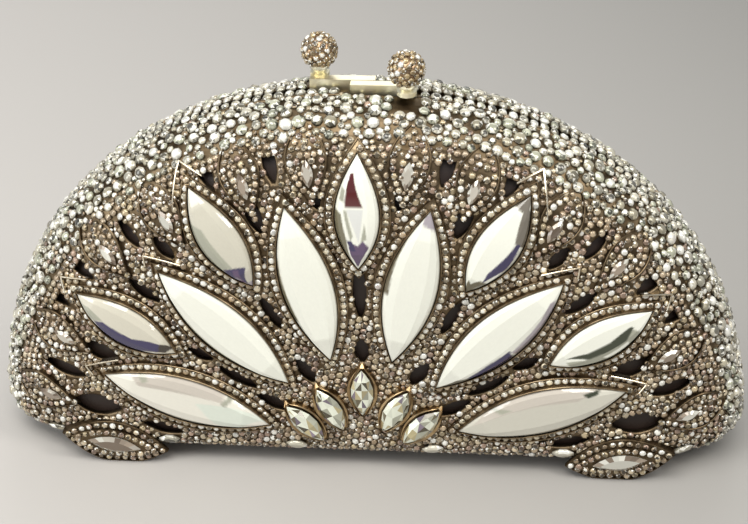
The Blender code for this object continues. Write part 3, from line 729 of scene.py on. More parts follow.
def stone_template():
    """Closed cut stone of radius 1: table, crown triangles, girdle, lower faces."""
    sides = STONE_SIDES
    turn = 2 * math.pi / sides
    verts = []
    for shift, radius, level in STONE_RINGS:
        for k in range(sides):
            angle = (k + shift) * turn
            verts.append((math.cos(angle) * radius, math.sin(angle) * radius, level))
    faces = [tuple(range(sides))]
    for k in range(sides):
        after = (k + 1) % sides
        faces.append((k, sides + k, after))
        faces.append((sides + k, sides + after, after))
    for k in range(sides):
        after = (k + 1) % sides
        faces.append((2 * sides + k, 2 * sides + after, sides + after, sides + k))
    faces.append(tuple(range(2 * sides, 3 * sides))[::-1])
    return np.array(verts), faces


def stone_tones(count, facets, palette, contrast):
    """One tone per facet: a base tone per stone, facets a little lighter or darker, then facets with
    painted dark reflections, painted highlights and, on some stones, painted glints.
    """
    dark_share, bright_share, glint_share = contrast
    palette = np.array(palette)
    pick = RANDOM.integers(0, len(palette), count)
    base = palette[pick] * RANDOM.uniform(0.70, 1.25, (count, 1))
    kind = RANDOM.random((count, facets))
    factor = RANDOM.uniform(0.75, 1.2, (count, facets))
    # Painted dark reflections on some facets
    factor = np.where(kind < dark_share, RANDOM.uniform(0.12, 0.4, kind.shape), factor)
    tone = base[:, None, :] * factor[:, :, None]
    # Painted highlights on some facets
    bright = (kind > 1 - bright_share)[:, :, None]
    tone = np.where(bright, PAINTED_STONE_HIGHLIGHT * RANDOM.uniform(0.8, 1.0, (count, facets, 1)), tone)
    # Painted glints over some whole stones
    glint = (RANDOM.random(count) < glint_share)[:, None, None]
    shine = PAINTED_STONE_HIGHLIGHT * RANDOM.uniform(0.55, 1.0, (count, facets, 1))
    tone = np.where(glint, np.maximum(tone, shine), tone)
    return np.clip(tone, 0.004, 0.97)


def stones_mesh(name, points, normals, radii, palette, contrast, tilt=0.16, stretch=None):
    """All stones of one kind in one mesh; a stretch makes them ovals that lie level."""
    points = np.asarray(points, float)
    normals = np.asarray(normals, float)
    radii = np.asarray(radii, float)[:, None, None]
    count = len(points)
    verts, faces = stone_template()
    normals = unit(normals + RANDOM.normal(0, tilt, normals.shape))
    guide = np.where(np.abs(normals[:, 2:3]) < 0.9, np.array([[0, 0, 1.0]]), np.array([[1.0, 0, 0]]))
    u = unit(np.cross(guide, normals))
    v = np.cross(normals, u)
    spin = RANDOM.uniform(0, 2 * math.pi, count)[:, None]
    along = u * np.cos(spin) + v * np.sin(spin)
    across = -u * np.sin(spin) + v * np.cos(spin)
    if stretch is not None:
        level = np.array([1.0, 0.0, 0.0])
        along = unit(level - normals * np.sum(level * normals, 1, keepdims=True))
        across = np.cross(normals, along)
        along = along * stretch
    cloud = (points[:, None, :]
             + radii * (verts[None, :, 0:1] * along[:, None, :]
                        + verts[None, :, 1:2] * across[:, None, :]
                        + verts[None, :, 2:3] * normals[:, None, :]))
    flat = np.concatenate([np.array(face) for face in faces])
    sizes = np.array([len(face) for face in faces])
    corners = (flat[None, :] + (np.arange(count) * len(verts))[:, None]).ravel()
    tones = stone_tones(count, len(faces), palette, contrast)
    return bulk_mesh(name, cloud.reshape(-1, 3), corners, np.tile(sizes, count), tones)


# Places of the stones, in the order in which they are set

CELL = 4.4 * MM
HINGE_ZONE, CLASP_ZONE = 8 * MM, 100 * MM
SWING_HEIGHT, SWING_DEPTH = 3 * MM, 4 * MM
LOW_EDGE = 3.0 * MM
POCKET_MARGIN_SHARE = 0.9
BUD_MARGIN = 1.0 * MM
WINDOW_MARGIN_SHARE = 0.6
BED_MARGIN_SHARE = 0.004
LEAF_FLOOR = 0.75 * MM
FIELD_LEAN = math.radians(17)
OUTLINE_STEPS, FINE_STEPS = 720, 1440
TRIES = 9000


class Stones:
    """Collects stones and keeps new ones clear of those already set."""

    def __init__(self):
        self.grid = {}
        self.rows = []

    def key(self, point):
        return tuple(int(math.floor(c / CELL)) for c in point)

    def clear(self, point, radius, share=0.97):
        cx, cy, cz = self.key(point)
        for ix in (cx - 1, cx, cx + 1):
            for iy in (cy - 1, cy, cy + 1):
                for iz in (cz - 1, cz, cz + 1):
                    for other, size in self.grid.get((ix, iy, iz), ()):
                        reach = (size + radius) * share
                        gap = ((other[0] - point[0]) ** 2 + (other[1] - point[1]) ** 2
                               + (other[2] - point[2]) ** 2)
                        if gap < reach * reach:
                            return False
        return True

    def put(self, point, normal, radius, kind):
        self.grid.setdefault(self.key(point), []).append((tuple(point), radius))
        self.rows.append((point, normal, radius, kind))

    def of_kind(self, kind, step=1):
        """Places, normals and radii of one kind of stone."""
        rows = [row[:3] for row in self.rows if row[3] == kind][::step]
        return [list(column) for column in zip(*rows)]


def spaced(x, z, height, pitch):
    """Points of a closed line on the dome at an even pitch, with normals."""
    x, z = closed(x, z)
    fine = np.linspace(0, len(x) - 1, 30 * len(x))
    fx = np.interp(fine, np.arange(len(x)), x)
    fz = np.interp(fine, np.arange(len(z)), z)
    run = travelled(raised(fx, fz, height))
    count = max(3, int(round(run[-1] / pitch)))
    wanted = np.arange(count) * run[-1] / count
    return on_dome(np.interp(wanted, run, fx), np.interp(wanted, run, fz), height)


def blocked(x, z, margin):
    """Places that no field stone may take."""
    stop = np.zeros(len(x), bool)
    for row in PETALS:
        stop |= in_leaf(x, z, place_of(row), *petal_size(row), BAND_WIDTH + margin)
    for row in mirrored(BUDS):
        stop |= in_leaf(x, z, place_of(row), BUD_LENGTH, BUD_WIDTH, BUD_MARGIN + margin)
    open_wall = rim_share(x, z) < RIM_BED[0][0] + BED_MARGIN_SHARE
    open_wall &= ~in_rim_leaves(x, z)
    for row in mirrored(WINDOWS):
        stop |= open_wall & in_leaf(x, z, place_of(row), row[3] * WINDOW_LENGTH,
                                    row[4] * WINDOW_WIDTH, margin * WINDOW_MARGIN_SHARE)
    return stop


def near_pocket(points, radii):
    """The pockets and the edge that swings past the other half stay bare."""
    x, y, z = points[:, 0], points[:, 1], points[:, 2]
    room = POCKET_MARGIN_SHARE * radii
    hinge = np.abs(np.abs(x) - HINGE_SPACING / 2) < HINGE_LENGTH / 2 + SEAT_GAP + room
    hinge &= z < HINGE_ZONE
    clasp = (x > CLASP_LEFT - room) & (x < CLASP_RIGHT + room) & (z > CLASP_ZONE)
    swing = (z < SWING_HEIGHT) & (y > -SWING_DEPTH)
    return (hinge | clasp) & (y > -HINGE_REACH - 2 * SEAT_GAP - room) | swing


def under_clasp(points, radii):
    """The foot of the front ball's post stays bare."""
    low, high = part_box("front_clasp_ball")
    middle = (low + high) / 2
    room = POST_RADIUS + POCKET_MARGIN_SHARE * radii
    near = np.abs(points[:, 0] - middle[0]) < room
    return near & (points[:, 2] > CLASP_ZONE) & (points[:, 1] > middle[1] - room)


def seat_height(x, z, share):
    """Height of the metal bed on which a stone sits."""
    height = rim_bed(share)
    return np.where(in_rim_leaves(x, z), np.maximum(height, LEAF_FLOOR), height)


def side_run():
    """Distance travelled over the dome's side against the share of the outline."""
    table = np.linspace(0.02, 0.9998, 4000)
    depth = DOME_RISE * np.sqrt(1 - table ** DOME_POWER)
    return table, travelled(np.stack([table * HALF_WIDTH * 0.95, depth], -1))


def pave_rows(step, pitch, low, high):
    """Rows of places parallel to the outline, staggered like laid stones."""
    px, pz = closed(*outline_loop(OUTLINE_STEPS)[:2])
    table, run = side_run()
    shares = np.interp(np.arange(run[-1], 0, -step), run, table)
    rows = []
    for index, share in enumerate(shares):
        if not low <= share <= high:
            continue
        x, z = shrunk(px, pz, share)
        along = flat_run(x, z)
        count = max(6, int(along[-1] / pitch))
        wanted = (np.arange(count) + 0.5 * (index % 2)) * along[-1] / count
        rows.append((np.interp(wanted, along, x), np.interp(wanted, along, z),
                     np.full(count, share)))
    return [np.concatenate(column) for column in zip(*rows)]


def field_grid(pitch, high):
    """Staggered places over the flat middle of the dome, up to one share of the outline."""
    reach = 1.2 * HALF_WIDTH
    rows = np.arange(-reach, reach, pitch * math.sqrt(3) / 2)
    along, up = np.meshgrid(np.arange(-reach, reach, pitch), rows)
    along = along + 0.5 * pitch * (np.arange(len(rows)) % 2)[:, None]
    x = (along * math.cos(FIELD_LEAN) - up * math.sin(FIELD_LEAN)).ravel()
    z = (along * math.sin(FIELD_LEAN) + up * math.cos(FIELD_LEAN)).ravel()
    share = rim_share(x, z)
    keep = (z > 0) & (share < high)
    return x[keep], z[keep], share[keep]


def scattered(count, low, high):
    """Random places between two shares of the outline, evenly spread over the dome's side."""
    table, run = side_run()
    start, end = np.interp((low, high), table, run)
    share = np.interp(RANDOM.uniform(start, end, count), run, table)
    px, pz = closed(*outline_loop(FINE_STEPS)[:2])
    at = RANDOM.uniform(0, FINE_STEPS, count)
    steps = np.arange(FINE_STEPS + 1)
    x, z = shrunk(np.interp(at, steps, px), np.interp(at, steps, pz), share)
    return x, z, share


def jittered(x, z, spread):
    x = x + RANDOM.normal(0, spread, len(x))
    z = z + RANDOM.normal(0, spread, len(z))
    return x, z


def gem_place(row):
    """The middle of a rim leaf's gem, a little towards the leaf's inner end."""
    x, z, lean = place_of(row)
    back = 0.05 * LEAF_LENGTH
    return x - back * math.cos(lean), z - back * math.sin(lean), lean


def low_limited(z, low, radii):
    """Near the floor only small stones fit."""
    return np.where(z < LOW_EDGE, low, radii)


def lay(bag, x, z, share, radii, sink, kind, margin, crowd):
    """Sets every stone that still has room."""
    points, normals = on_dome(x, z, seat_height(x, z, share) - sink)
    skip = blocked(x, z, margin) | near_pocket(points, radii) | under_clasp(points, radii)
    for k in np.nonzero(~skip)[0]:
        if bag.clear(points[k], radii[k], crowd):
            bag.put(points[k], normals[k], radii[k], kind)


def lay_rim(bag, x, z, share, radii, margin, crowd):
    """Large stones, which reach further in over the top than down the sides."""
    keep = share > np.interp(z, (0.035, 0.085), (0.957, 0.925))
    lay(bag, x[keep], z[keep], share[keep], radii[keep], 0.05 * MM, "rim", margin, crowd)


def set_bands(bag):
    """One row on every petal's band."""
    for row in PETALS:
        length, width = grown(*petal_size(row), 1.64 * MM)
        x, z = leaf_loop(place_of(row), length, width, 30)
        for point, normal in zip(*spaced(x, z, 0.60 * MM, 2.12 * MM)):
            if bag.clear(point, 0.80 * MM):
                bag.put(point, normal, RANDOM.uniform(0.98, 1.08) * MM, "band")


def keep_room(bag):
    """Room for the gems in the rim leaves and for the ovals along the foot of the rim."""
    for row in mirrored(LEAVES):
        x, z = leaf_xz(gem_place(row), np.array([0.25, 0.5, 0.75]), 0.0, LEAF_GEM_LENGTH,
                       LEAF_GEM_WIDTH)
        for point, normal in zip(*on_dome(x, z, 0.8 * MM)):
            bag.put(point, normal, 1.1 * MM, "gem")
    for row in mirrored(OVALS):
        x, z, _ = place_of(row)
        run = x + np.array([0, -1, 1]) * OVAL_RADIUS
        for point, normal in zip(*on_dome(run, np.full(3, z), 0.3 * MM)):
            bag.put(point, normal, OVAL_RADIUS, "oval")


def set_leaf_rows(bag):
    """A row inside every rim leaf."""
    for row in mirrored(LEAVES):
        x, z = leaf_loop(place_of(row), LEAF_LENGTH - 3.2 * MM, LEAF_WIDTH - 2.9 * MM, 24,
                         LEAF_SKEW_POWER)
        for point, normal in zip(*spaced(x, z, 0.80 * MM, 1.95 * MM)):
            if bag.clear(point, 0.80 * MM, 0.9):
                bag.put(point, normal, RANDOM.uniform(0.88, 1.0) * MM, "field")


def set_rim(bag):
    """A close row on the lip, rows of larger stones, then fillers from large to small."""
    x, z, share = pave_rows(3.35 * MM, 2.85 * MM, 0.9995, 0.9999)
    radii = low_limited(z, 1.05 * MM, RANDOM.uniform(1.3, 1.5, len(x)) * MM)
    lay_rim(bag, x, z, share, radii, 0.8 * MM, 0.88)
    x, z, share = pave_rows(3.35 * MM, 3.75 * MM, 0.925, 0.9990)
    x, z = jittered(x, z, 0.22 * MM)
    radii = RANDOM.choice([1.15, 1.45, 1.7, 1.9], len(x), p=[0.2, 0.3, 0.3, 0.2]) * MM
    radii = np.where(share < 0.955, np.minimum(radii, 1.35 * MM), radii)
    radii = low_limited(z, np.minimum(radii, 1.1 * MM), radii)
    lay_rim(bag, x, z, share, radii, 0.8 * MM, 0.88)
    for size in (1.6, 1.35, 1.12, 0.92):
        x, z, share = scattered(TRIES, 0.945, 0.9985)
        radii = low_limited(z, min(size, 1.0) * MM, size * MM)
        lay_rim(bag, x, z, share, radii, 0.6 * size * MM, 0.86)


def set_field(bag):
    """Smaller stones in staggered rows over the rest, then fillers."""
    for x, z, share in (pave_rows(1.72 * MM, 1.95 * MM, 0.87, 0.9985),
                        field_grid(1.98 * MM, 0.875)):
        x, z = jittered(x, z, 0.10 * MM)
        radii = RANDOM.uniform(0.94, 1.10, len(x)) * MM
        lay(bag, x, z, share, radii, 0.02 * MM, "field", 0.40 * MM, 0.80)
    for size in (0.88, 0.72, 0.56):
        x, z, share = scattered(3 * TRIES, 0.03, 0.9985)
        radii = np.full(len(x), size * MM)
        lay(bag, x, z, share, radii, 0.0, "field", 0.45 * size * MM, 0.84)


def build_stones():
    bag = Stones()
    for step in (set_bands, keep_room, set_leaf_rows, set_rim, set_field):
        step(bag)
    for kind, palette, contrast, mat in STONE_KINDS:
        mesh = stones_mesh(kind + "_stones", *bag.of_kind(kind), palette, contrast)
        both(kind + "_stones", mesh, mat, "pave_gold")
    # Each oval keeps its room with three places, of which the first is its middle
    mesh = stones_mesh("oval_stones", *bag.of_kind("oval", 3), RIM_PALETTE, (0.15, 0.20, 0.0),
                       0.05, OVAL_STRETCH)
    both("oval_stones", mesh, RIM_STONES, "pave_gold")


# Crystals: tones of the room that they reflect

WHITE = np.array([0.84, 0.84, 0.735])
SAGE = np.array([0.36, 0.36, 0.28])
OLIVE = np.array([0.12, 0.10, 0.055])
SHADOW = np.array([0.035, 0.025, 0.015])
NAVY = np.array([0.035, 0.028, 0.085])
PLUM = np.array([0.10, 0.06, 0.12])
WINE = np.array([0.085, 0.012, 0.012])
EDGE_TONE = np.array([0.26, 0.22, 0.15])
BEIGE_GREY = np.array([0.53, 0.48, 0.41])
MIST = np.array([0.68, 0.72, 0.62])
MOSS = np.array([0.16, 0.145, 0.09])
PINE = np.array([0.035, 0.042, 0.022])
GREY = np.array([0.68, 0.68, 0.64])
MAUVE = np.array([0.36, 0.32, 0.34])
STONE = np.array([0.17, 0.15, 0.12])
GEM_TONES = np.array([(0.46, 0.42, 0.35), (0.30, 0.24, 0.18), (0.62, 0.60, 0.52),
                      (0.16, 0.12, 0.085)])

# A bud's facets: the roll up to which a tone is taken, the tone, and its least and most strength
BUD_TONES = (
    (0.42, np.array([0.78, 0.80, 0.66]), 0.85, 1.08),
    (0.60, np.array([0.42, 0.36, 0.20]), 0.7, 1.3),
    (0.75, SAGE, 0.7, 1.3),
    (0.88, np.array([0.20, 0.16, 0.20]), 0.6, 1.4),
    (1.00, OLIVE, 0.5, 1.2),
)

# Facets that reflect something other than the bright room, by petal number: tone and corners
# as (share along the petal, share across it)
FACETS = {
    1: (
        (BEIGE_GREY, ((0.30, -1.1), (0.30, -0.55), (0.60, -0.35), (0.80, -0.20), (0.87, -1.1))),
        (SAGE, ((0.75, -0.60), (0.78, -1.1), (0.83, -1.1), (0.78, -0.45))),
        (MIST, ((0.45, -0.10), (0.28, -0.45), (0.0, -1.1), (0.15, 0.90), (0.30, 0.75))),
        (SAGE, ((0.24, -1.1), (0.28, -0.40), (0.31, -0.50), (0.27, -1.1))),
    ),
    2: (
        (SAGE, ((1.0, 1.1), (0.86, 0.10), (0.70, 0.30), (0.84, 1.1))),
        (NAVY, ((0.77, 0.75), (0.70, 0.35), (0.40, 0.30), (0.16, -0.30), (0.12, 0.50), (0.30, 0.92),
                (0.63, 0.95))),
        (SHADOW, ((0.17, -0.30), (0.04, -1.1), (0.08, 0.60), (0.14, 0.50))),
    ),
    3: ((MOSS, ((0.85, 0.92), (0.30, 0.92), (0.30, 1.1), (0.85, 1.1))),),
    4: (
        (SAGE, ((0.80, 1.1), (0.67, 0.40), (0.25, 0.25), (0.28, 1.1))),
        (NAVY, ((0.27, 0.80), (0.20, -0.60), (0.04, 0.40), (0.10, 1.1))),
        (PLUM, ((0.23, 0.35), (0.21, 0.0), (0.05, 0.60), (0.09, 1.0))),
        (MAUVE, ((0.05, 1.1), (0.05, -1.1), (0.0, -1.1), (0.0, 1.1))),
    ),
    5: ((MOSS, ((0.72, 0.95), (0.46, 0.85), (0.30, 0.85), (0.30, 1.1), (0.72, 1.1))),),
    6: (
        (MOSS, ((0.60, 1.1), (0.54, 0.70), (0.30, 0.55), (0.05, 0.75), (0.05, 1.1))),
        (SAGE, ((0.58, 0.60), (0.57, 0.45), (0.34, 0.20), (0.30, 0.35))),
        (SAGE, ((0.46, -0.35), (0.31, -0.50), (0.29, -0.20))),
        (GREY, ((0.58, 0.45), (0.58, -0.30), (0.27, -0.10))),
        (WINE, ((0.87, 0.60), (0.87, 0.25), (0.60, -0.30), (0.60, 0.55))),
        (PLUM, ((0.29, 0.50), (0.25, -0.05), (0.30, -0.30), (0.23, -0.75), (0.03, -0.30), (0.03, 0.30),
                (0.15, 0.55))),
        (NAVY, ((0.30, 0.55), (0.30, 0.30), (0.20, 0.10), (0.20, 0.45))),
        (SAGE, ((0.77, 0.90), (0.74, 0.65), (0.64, 0.60), (0.66, 0.85))),
    ),
    7: (
        (MAUVE, ((0.92, 0.60), (0.98, 1.0), (1.0, -1.1), (0.90, -1.1))),
        (OLIVE, ((0.80, 0.95), (0.45, 0.80), (0.45, 1.1), (0.85, 1.1))),
    ),
    8: (
        (STONE, ((0.90, -0.05), (0.92, -1.1), (0.62, -1.1), (0.63, -0.50))),
        (NAVY, ((0.63, -0.60), (0.64, -0.80), (0.38, -0.90), (0.16, -0.50), (0.27, -0.30))),
        (OLIVE, ((0.13, 0.60), (0.10, 0.25), (0.18, -0.25), (0.18, -1.1), (0.0, -1.1), (0.0, 1.1))),
        (STONE, ((0.88, 1.1), (0.87, 0.0), (0.90, -0.65), (1.0, -1.1), (1.0, 1.1))),
    ),
    9: (
        (NAVY, ((0.50, -0.65), (0.47, -1.1), (0.18, -1.1), (0.19, -0.70), (0.34, -0.60))),
        (MAUVE, ((0.91, -0.80), (0.81, -1.1), (0.50, -1.1), (0.50, -0.75), (0.77, -0.65),
                 (0.88, -0.40))),
        (OLIVE, ((0.20, -0.80), (0.13, -0.50), (0.03, -0.65), (0.05, -1.1), (0.20, -1.1))),
    ),
    10: (
        (SAGE, ((0.85, -1.1), (0.80, -0.20), (0.30, -0.50), (0.15, -0.20), (0.15, -1.1))),
        (PINE, ((0.15, 0.15), (0.35, -0.15), (0.58, -0.15), (0.79, 0.10), (0.81, -0.10), (0.70, -0.55),
                (0.33, -0.50))),
        (WHITE, ((0.45, -0.70), (0.71, -0.65), (0.70, -0.85), (0.48, -0.90))),
    ),
    11: (
        (BEIGE_GREY, ((0.20, 1.1), (0.92, 1.1), (0.73, 0.30), (0.49, 0.45), (0.08, 0.50))),
        (PINE, ((0.77, 0.65), (0.87, 1.0), (0.85, 0.60), (0.79, 0.40))),
        (SAGE, ((0.22, 1.1), (0.35, 0.55), (0.28, 0.55))),
    ),
}

# Tone of the pale room in the petals that don't face it squarely
GROUNDS = {
    1: np.array([0.77, 0.74, 0.64]),
    2: np.array([0.60, 0.565, 0.46]),
    4: np.array([0.57, 0.54, 0.44]),
    11: np.array([0.60, 0.575, 0.485]),
}


# Crystals: levels are foot, girdle, crown and table above the face, in mm

PETAL_LEVELS = (0.45, 1.75, 2.70, 3.15)
PETAL_SHARES = list(np.linspace(0.015, 0.985, 72))
PETAL_SIDES = list(np.linspace(-1.0, 1.0, 37))
BUD_LEVELS = (1.35, 2.0, 2.7, 3.1)
BUD_SHARES = [0.08, 0.22, 0.4, 0.6, 0.78, 0.92]
BUD_SIDES = [-1, -0.6, 0.0, 0.6, 1]
SOFT_SHARE, SOFT_SIDE = 0.0045, 0.018
TABLE_SIDE, CROWN_SIDE = 0.5, 0.84
TIP_TAPER_SHARE = 0.16
BACK_SIDES = np.array([-0.9, 0.0, 0.9])
HIDDEN = (0.5, 2)


def in_area(share, side, corners):
    """True inside a polygon."""
    inside = False
    for (a, b), (c, d) in zip(corners, corners[1:] + corners[:1]):
        if (b > side) != (d > side) and share < a + (side - b) * (c - a) / (d - b):
            inside = not inside
    return inside


def petal_tone(number):
    """Tone at a corner: the pale room or an area of the table, with its outlines smoothed."""
    ground = GROUNDS.get(number, WHITE)
    areas = FACETS.get(number, ())
    offsets = [(i * SOFT_SHARE, j * SOFT_SIDE) for i in (-1, 0, 1) for j in (-1, 0, 1)]

    def plain(share, side):
        found = ground
        for colour, corners in areas:
            if in_area(share, side, corners):
                found = colour
        return found

    def tone(share, side, rng):
        if abs(side) > 1:
            return SHADOW
        if abs(side) > 0.98:
            return EDGE_TONE * rng.uniform(0.6, 1.4)
        near = [plain(share + i, side + j) for i, j in offsets]
        return sum(near) / len(near) * rng.uniform(0.985, 1.015)
    return tone


def bud_tone(share, side, rng):
    if abs(side) > 1:
        return SHADOW
    roll = rng.random()
    for limit, colour, least, most in BUD_TONES:
        if roll < limit:
            return colour * rng.uniform(least, most)


def crystal_faces(shares, sides):
    """Faces of a crystal, each with the share along and across it that gives its tone."""
    rows, columns = len(shares), len(sides)
    back = rows * columns
    tips = back + 3 * rows
    last = back - columns
    found = []
    for i in range(rows - 1):
        share = (shares[i] + shares[i + 1]) / 2
        for j in range(columns - 1):
            a = i * columns + j
            b, c, d = a + 1, a + columns + 1, a + columns
            side = (sides[j] + sides[j + 1]) / 2
            step = (sides[j + 1] - sides[j]) / 6
            if (i + j) % 2:
                found.append(((a, d, b), share - 0.01, side - step))
                found.append(((b, d, c), share + 0.01, side + step))
            else:
                found.append(((a, c, b), share - 0.01, side + step))
                found.append(((a, d, c), share + 0.01, side - step))
        low = back + 3 * i
        near, far = i * columns, (i + 1) * columns - 1
        for k in (low, low + 1):
            found.append(((k, k + 1, k + 4, k + 3), *HIDDEN))
        found.append(((near, low, low + 3, near + columns), *HIDDEN))
        found.append(((far, far + columns, low + 5, low + 2), *HIDDEN))
    for j in range(columns - 1):
        side = (sides[j] + sides[j + 1]) / 2
        found.append(((tips, j, j + 1), 0.01, side))
        found.append(((tips + 1, last + j + 1, last + j), 0.99, side))
    for start, low, tip in ((0, back, tips), (last, tips - 3, tips + 1)):
        ring = (start, low, low + 1, low + 2, start + columns - 1)
        for p, q in zip(ring[:-1], ring[1:]):
            found.append(((tip, q, p) if tip == tips else (tip, p, q), *HIDDEN))
    return found


def crystal(row, length, width, levels, tone, seed, shares, sides, soft=False):
    """A closed crystal: girdle, crown, table, and a flat back; soft tones belong to its corners."""
    rng = np.random.default_rng(seed)
    foot, girdle, crown, table = levels
    place = place_of(row)
    across = np.array(sides)
    rise = np.interp(np.abs(across), (TABLE_SIDE, CROWN_SIDE, 1.0), (table, crown, girdle))
    verts = []
    for share in shares:
        taper = min(1.0, min(share, 1 - share) / TIP_TAPER_SHARE)
        x, z = leaf_xz(place, share, across, length, width)
        verts.extend(raised(x, z, (girdle + (rise - girdle) * taper) * MM))
    for share in shares:
        verts.extend(raised(*leaf_xz(place, share, BACK_SIDES, length, width), foot * MM))
    for end in (0.0, 1.0):
        verts.append(leaf_tip(place, end, length, width, girdle * MM))
    faces = crystal_faces(shares, sides)
    if soft:
        tones = [tone(share, side, rng) for share in shares for side in sides]
        tones += [SHADOW] * (3 * len(shares)) + [tone(0.0, 0.0, rng), tone(1.0, 0.0, rng)]
    else:
        tones = [tone(share, side, rng) for _, share, side in faces]
    return solid("crystal", (verts, [face for face, _, _ in faces]), np.clip(tones, 0.003, 0.97),
                 domain="POINT" if soft else "FACE")


def leaf_gem(row):
    """The small marquise stone in the middle of a rim leaf."""
    rings = []
    for share, rise in ((0.9, 0.6), (1.0, 1.2), (0.6, 1.85)):
        x, z = leaf_loop(gem_place(row), LEAF_GEM_LENGTH * share, LEAF_GEM_WIDTH * share, 8)
        rings.append(raised(x, z, rise * MM))
    return loft(rings)


def build_crystals():
    verts, faces = merged([leaf_gem(row) for row in mirrored(LEAVES)])
    rng = np.random.default_rng(61)
    tones = GEM_TONES[rng.integers(0, len(GEM_TONES), len(faces))]
    tones = tones * rng.uniform(0.8, 1.15, (len(faces), 1))
    both("leaf_gems", solid("gems", (verts, faces), tones), BUD_GLASS, "crystal")
    for index, row in enumerate(PETALS, start=1):
        mesh = crystal(row, *petal_size(row), PETAL_LEVELS, petal_tone(index), 100 + index,
                       PETAL_SHARES, PETAL_SIDES, True)
        both("petal_%02d" % index, mesh, CRYSTAL, "crystal", "petal_crystal_%02d" % index)
    for index, row in enumerate(mirrored(BUDS), start=1):
        mesh = crystal(row, BUD_LENGTH, BUD_WIDTH, BUD_LEVELS, bud_tone, 200 + index,
                       BUD_SHARES, BUD_SIDES)
        both("bud_%d" % index, mesh, BUD_GLASS, "crystal", "bud_crystal_%d" % index)


# Feet: sections and gems give levels behind the foot's front rim, in mm

FOOT_SECTION = ((0.0, 0.25), (0.12, 0.0), (0.42, 0.0), (0.52, 0.45), (2.3, 0.15), (2.4, -0.55),
                (2.7, -0.65), (3.6, -0.70))
FOOT_GEM_RINGS = ((0.96, 0.96, 0.0), (1.0, 1.0, 0.35), (0.72, 0.55, 1.15))
FOOT_GEM_LIFT = 0.75 * MM
# Inset, pitch and level of a foot's two rows of stones
FOOT_ROWS = ((1.4, 2.25, 0.1), (3.35, 2.0, -0.7))


def foot_place(side):
    x, z, lean = place_of(FOOT_PLACE)
    return side * x, z, lean if side > 0 else math.pi - lean


def foot_front():
    x, z, _ = place_of(FOOT_PLACE)
    return float(dome_depth(np.array(x), np.array(z + FOOT_WIDTH / 2))) + 2 * SEAT_GAP + FOOT_RIM


def foot_ring(side, inset, y):
    x, z = leaf_loop(foot_place(side), FOOT_LENGTH - 2 * inset * TIP_REACH_SHARE,
                     FOOT_WIDTH - 2 * inset, 26)
    ring = flat_ring(x, z, y)
    ring[:, 2] = np.maximum(ring[:, 2], inset)
    return ring


def foot_body(side):
    back = foot_ring(side, 0.0, 0.0)
    seat = np.maximum(back[:, 2] - FOOT_DROP, FOOT_SEAT_SHARE * SHELL_HEIGHT)
    back[:, 1] = -dome_depth(back[:, 0], seat) - 2 * SEAT_GAP
    front = -foot_front()
    rings = [foot_ring(side, inset * MM, front + level * MM) for inset, level in FOOT_SECTION]
    return loft([back] + rings)


def foot_gem(side):
    """The marquise stone in the middle of a foot."""
    front = -foot_front() - FOOT_GEM_LIFT
    rings = []
    for length_share, width_share, rise in FOOT_GEM_RINGS:
        x, z = leaf_loop(foot_place(side), FOOT_STONE_LENGTH * length_share,
                         FOOT_STONE_WIDTH * width_share, 8)
        rings.append(flat_ring(x, z, front - rise * MM))
    return loft(rings)


def foot_stones(side):
    """Points of the two rows of stones round a foot's gem."""
    rows = []
    for inset, pitch, level in FOOT_ROWS:
        ring = foot_ring(side, inset * MM, -foot_front() + level * MM)
        loop = np.concatenate([ring, ring[:1]])
        run = travelled(loop)
        count = int(run[-1] / (pitch * MM))
        wanted = np.arange(count) * run[-1] / count
        rows.append(np.stack([np.interp(wanted, run, loop[:, k]) for k in range(3)], -1))
    return np.concatenate(rows)


def build_feet():
    for side, name, other in ((-1, "left", "right"), (1, "right", "left")):
        body = solid("foot", foot_body(side))
        verts, faces = foot_gem(side)
        rng = np.random.default_rng(31 + side)
        tones = [GEM_TONES[rng.integers(0, len(GEM_TONES))] * rng.uniform(0.8, 1.1) for _ in faces]
        gem = solid("foot_gem", (verts, faces), tones)
        points = foot_stones(side)
        normals = np.tile([0.0, -1.0, 0.0], (len(points), 1))
        radii = RANDOM.uniform(0.85, 1.0, len(points)) * MM
        stones = stones_mesh("foot_stones", points, normals, radii, FIELD_PALETTE,
                             (0.26, 0.13, 0.05), 0.12)
        for half, seen in (("front", name), ("back", other)):
            show("foot_body_" + seen, body, GOLD, half, [half + "_foot_" + seen])
            show("foot_gem_" + seen, gem, BUD_GLASS, half,
                 [half + "_foot_crystal_" + seen])
            show("foot_stones_" + seen, stones, STONES, half)


# Clasp

BALL_CORE_RADIUS = BALL_RADIUS * 0.86
BALL_STONE_RADIUS = 0.86 * MM
BALL_STONE_LIFT = 0.02 * MM
BALL_STONES = 88
BALL_LOW_END = -0.82


def build_balls():
    """Stones on a spiral round each ball, down to where its post begins."""
    low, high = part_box("front_clasp_ball")
    centre = np.array((low + high) / 2)
    shape = bmesh.new()
    bmesh.ops.create_icosphere(shape, subdivisions=4, radius=BALL_CORE_RADIUS,
                               matrix=Matrix.Translation(Vector(centre)))
    core = bpy.data.meshes.new("ball_base")
    shape.to_mesh(core)
    shape.free()
    core.shade_smooth()
    k = np.arange(BALL_STONES) + 0.5
    polar = np.arccos(1 - 2 * k / BALL_STONES)
    turn = math.pi * (1 + 5 ** 0.5) * k
    normals = np.stack([np.cos(turn) * np.sin(polar), np.sin(turn) * np.sin(polar), np.cos(polar)], -1)
    normals = normals[normals[:, 2] > BALL_LOW_END]
    points = centre + normals * (BALL_CORE_RADIUS + BALL_STONE_LIFT)
    stones = stones_mesh("ball_stones", points, normals, np.full(len(points), BALL_STONE_RADIUS),
                         BALL_PALETTE, (0.22, 0.18, 0.10), 0.05)
    for half in ("front", "back"):
        show("ball_base", core, BALL_METAL, half, [half + "_clasp_ball"])
        show("ball_stones", stones, RIM_STONES, half)


# Frames and lining

